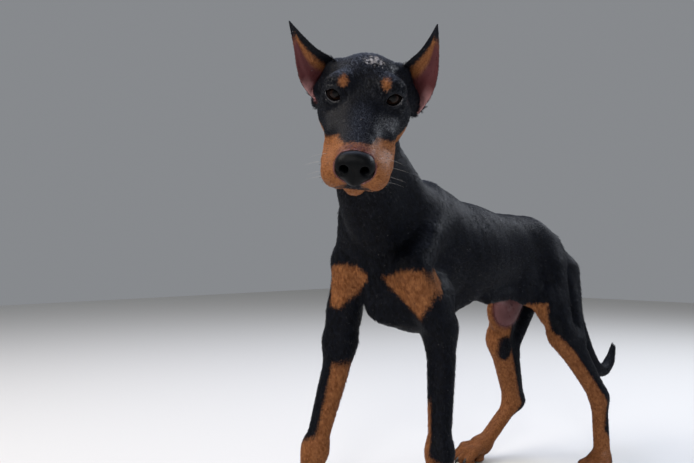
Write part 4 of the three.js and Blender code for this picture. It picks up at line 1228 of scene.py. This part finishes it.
for side, s in SIDES.items():
    turn = np.linspace(0, 2 * np.pi, 72, endpoint=False)
    x = np.cos(turn)
    height = np.where(np.sin(turn) >= 0, lid_edge(x, "upper"), -lid_edge(x, "lower"))
    x = x * LIDS["half_width"]
    y = -np.sqrt(np.maximum((EYE_RADIUS + 1.2) ** 2 - x**2 - height**2, 4))
    edge = np.stack([x, y, height], 1) @ eye_axes(s) + eye_place(s)
    rings, faces = tube_over(edge, LID_RIM_RADIUS, closed=True)
    rim = mesh_of(f"lid_rim_{side}", to_body(rings), faces)
    rim.data.materials.append(lid_skin)
    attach(rim, "root")

# Whiskers
# Stiff, tapering sensory hairs in rows on the flews, each growing out of a root deep in the lip. Most are
# worn to short dark stubs, which look like dots, and only a few are long and pale.
def bristle(root, way, length, thick, droop):
    """Points and faces of one hair, in the head's frame."""
    t = np.linspace(0, 1, 6)
    way = unit(np.array(way, float))
    run = root + np.outer(t * length, way) + np.outer(t**2 * length * droop, (0, 0.3, -1))
    return tube_over(run, np.interp(t, [0, 1], [thick, thick * 0.2]), 4)


def together(tubes):
    """Points and faces of several tubes as one."""
    points, faces = [], []
    for made, rings in tubes:
        base = sum(map(len, points))
        faces += [tuple(base + i for i in ring) for ring in rings]
        points.append(made)
    return np.concatenate(points), faces


def bristles(name, places_and_ways, length, thick, colour):
    chance = np.random.default_rng(4)
    points, faces = together([
        bristle(on_face([place])[0], way, length * chance.uniform(0.6, 1.1), thick, chance.uniform(0.05, 0.3))
        for place, way in places_and_ways])
    obj = mesh_of(name, to_body(points), faces)
    # Smooth and horny, so that a long one shows as a thin bright line
    material, _, _ = new_material(name, {"Base Color": paint(colour), "Roughness": 0.4})
    obj.data.materials.append(material)
    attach(obj, "root")


flew_dots = [((s * (20 + 1.5 * row), -72 + 6.5 * column + 2 * row, -39 - 5 * row), (s * 0.9, 0.35, -0.25))
             for s in (1, -1) for row in range(4) for column in range(6)]
bristles("short_dark_whiskers", flew_dots, 1.9, 0.24, "#1a1210")
bristles("long_pale_whiskers", flew_dots[2::6], 17.0, 0.1, "#aaa39c")

# Claws
# Four horn claws on each paw, dark, blunt and curved. Each grows over the end of a toe's last bone, comes out
# from under the fur there, and is worn short.
CLAW = [(0, 4, 4.5), (0, -3, 3), (0, -8.5, -1.5), (0, -11, -6.2)]  # from the root to the point, off the toe
CLAW_STEPS = 14
# Worn horn, nearly black: a narrow streak of light along the top of each claw
horn, _, _ = new_material("dark_horn_claw", {"Base Color": paint("#17120f"), "Roughness": 0.35})
claw_radii = np.interp(np.linspace(0, 3, CLAW_STEPS), [0, 1, 2, 2.7, 3], [3.4, 3.1, 2.2, 1.1, 0.5])
claw_runs = [through([shift((x * 1.08, reach, 9), *place) for place in CLAW], np.linspace(0, 1, CLAW_STEPS))
             for x, reach in zip(TOE_X, TOE_REACH)]
for name in PAW:
    points, faces = together([tube_over(run, claw_radii, 12) for run in claw_runs])
    claws = mesh_of(f"claws_{name}", from_paw(name, points), faces)
    claws.data.materials.append(horn)
    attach(claws, "root")
    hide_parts(*[f"claw_{name}_{i}" for i in (1, 2, 3, 4)])

# Studio
# A plain pale floor and five soft lights: a large one over the dog's right, a weak one from its left, one
# behind it, a cool one above like an open sky, and a small one for the eyes. The camera stands where the
# photo was taken.
floor_points = [(-4, -4, 0), (4, -4, 0), (4, 4, 0), (-4, 4, 0)]
floor_mesh = bpy.data.meshes.new("floor")
floor_mesh.from_pydata(floor_points, [], [(0, 1, 2, 3)])
floor = in_scene("floor", floor_mesh)
# Matt paint: it shows the dog's shadow and no reflection
pale_floor, _, _ = new_material("pale_studio_floor", {"Base Color": paint("#d9d7d2"), "Roughness": 0.8})
floor.data.materials.append(pale_floor)

world = bpy.data.worlds.new("studio")
world.use_nodes = True
world.node_tree.nodes["Background"].inputs["Color"].default_value = paint("#e8ecf2")
world.node_tree.nodes["Background"].inputs["Strength"].default_value = 0.3
bpy.context.scene.world = world


def softbox(name, place, aim, size, power, colour):
    light = bpy.data.lights.new(name, "AREA")
    light.shape, light.size, light.size_y = "RECTANGLE", *size
    light.energy, light.color = power, paint(colour)[:3]
    obj = in_scene(name, light)
    obj.location = place
    obj.rotation_euler = (Vector(aim) - Vector(place)).to_track_quat("-Z", "Y").to_euler()


softbox("key", (-0.7, -1.5, 1.9), (0.05, -0.1, 0.35), (1.7, 1.3), 42, "#fff6ec")
softbox("fill", (1.9, 0.9, 1.1), (0.05, 0, 0.3), (1.6, 1.4), 7, "#e6eeff")
softbox("back", (0.5, 1.7, 1.8), (0, 0, 0.3), (1.6, 0.8), 36, "#eef4ff")
softbox("sky", (-0.5, 0.25, 2.3), (0.1, -0.2, 0.45), (1.4, 1.4), 24, "#cfdcff")
softbox("eye light", (0.75, -1.3, 0.9), (0.1, -0.34, 0.47), (0.24, 0.05), 5, "#ffffff")

# The photo's sizes, horizon and focal length, in its pixels, give the lens and how far the camera looks up
PHOTO_WIDTH, PHOTO_HEIGHT, PHOTO_HORIZON, PHOTO_FOCUS = 694, 463, 252, 700
SENSOR_WIDTH = 36
camera = in_scene("camera", bpy.data.cameras.new("camera"))
camera.data.sensor_width, camera.data.sensor_fit = SENSOR_WIDTH, "HORIZONTAL"
camera.data.lens = PHOTO_FOCUS / PHOTO_WIDTH * SENSOR_WIDTH
camera.data.clip_start = 0.01
heading, pitch = math.radians(44.18), math.atan((PHOTO_HORIZON - PHOTO_HEIGHT / 2) / PHOTO_FOCUS)
ahead = Vector((-math.sin(heading) * math.cos(pitch), math.cos(heading) * math.cos(pitch), math.sin(pitch)))
camera.location = (CAMERA_AT + ORIGIN) / 1000
camera.rotation_euler = ahead.to_track_quat("-Z", "Y").to_euler()
bpy.context.scene.camera = camera
bpy.context.scene.view_settings.view_transform = "Standard"
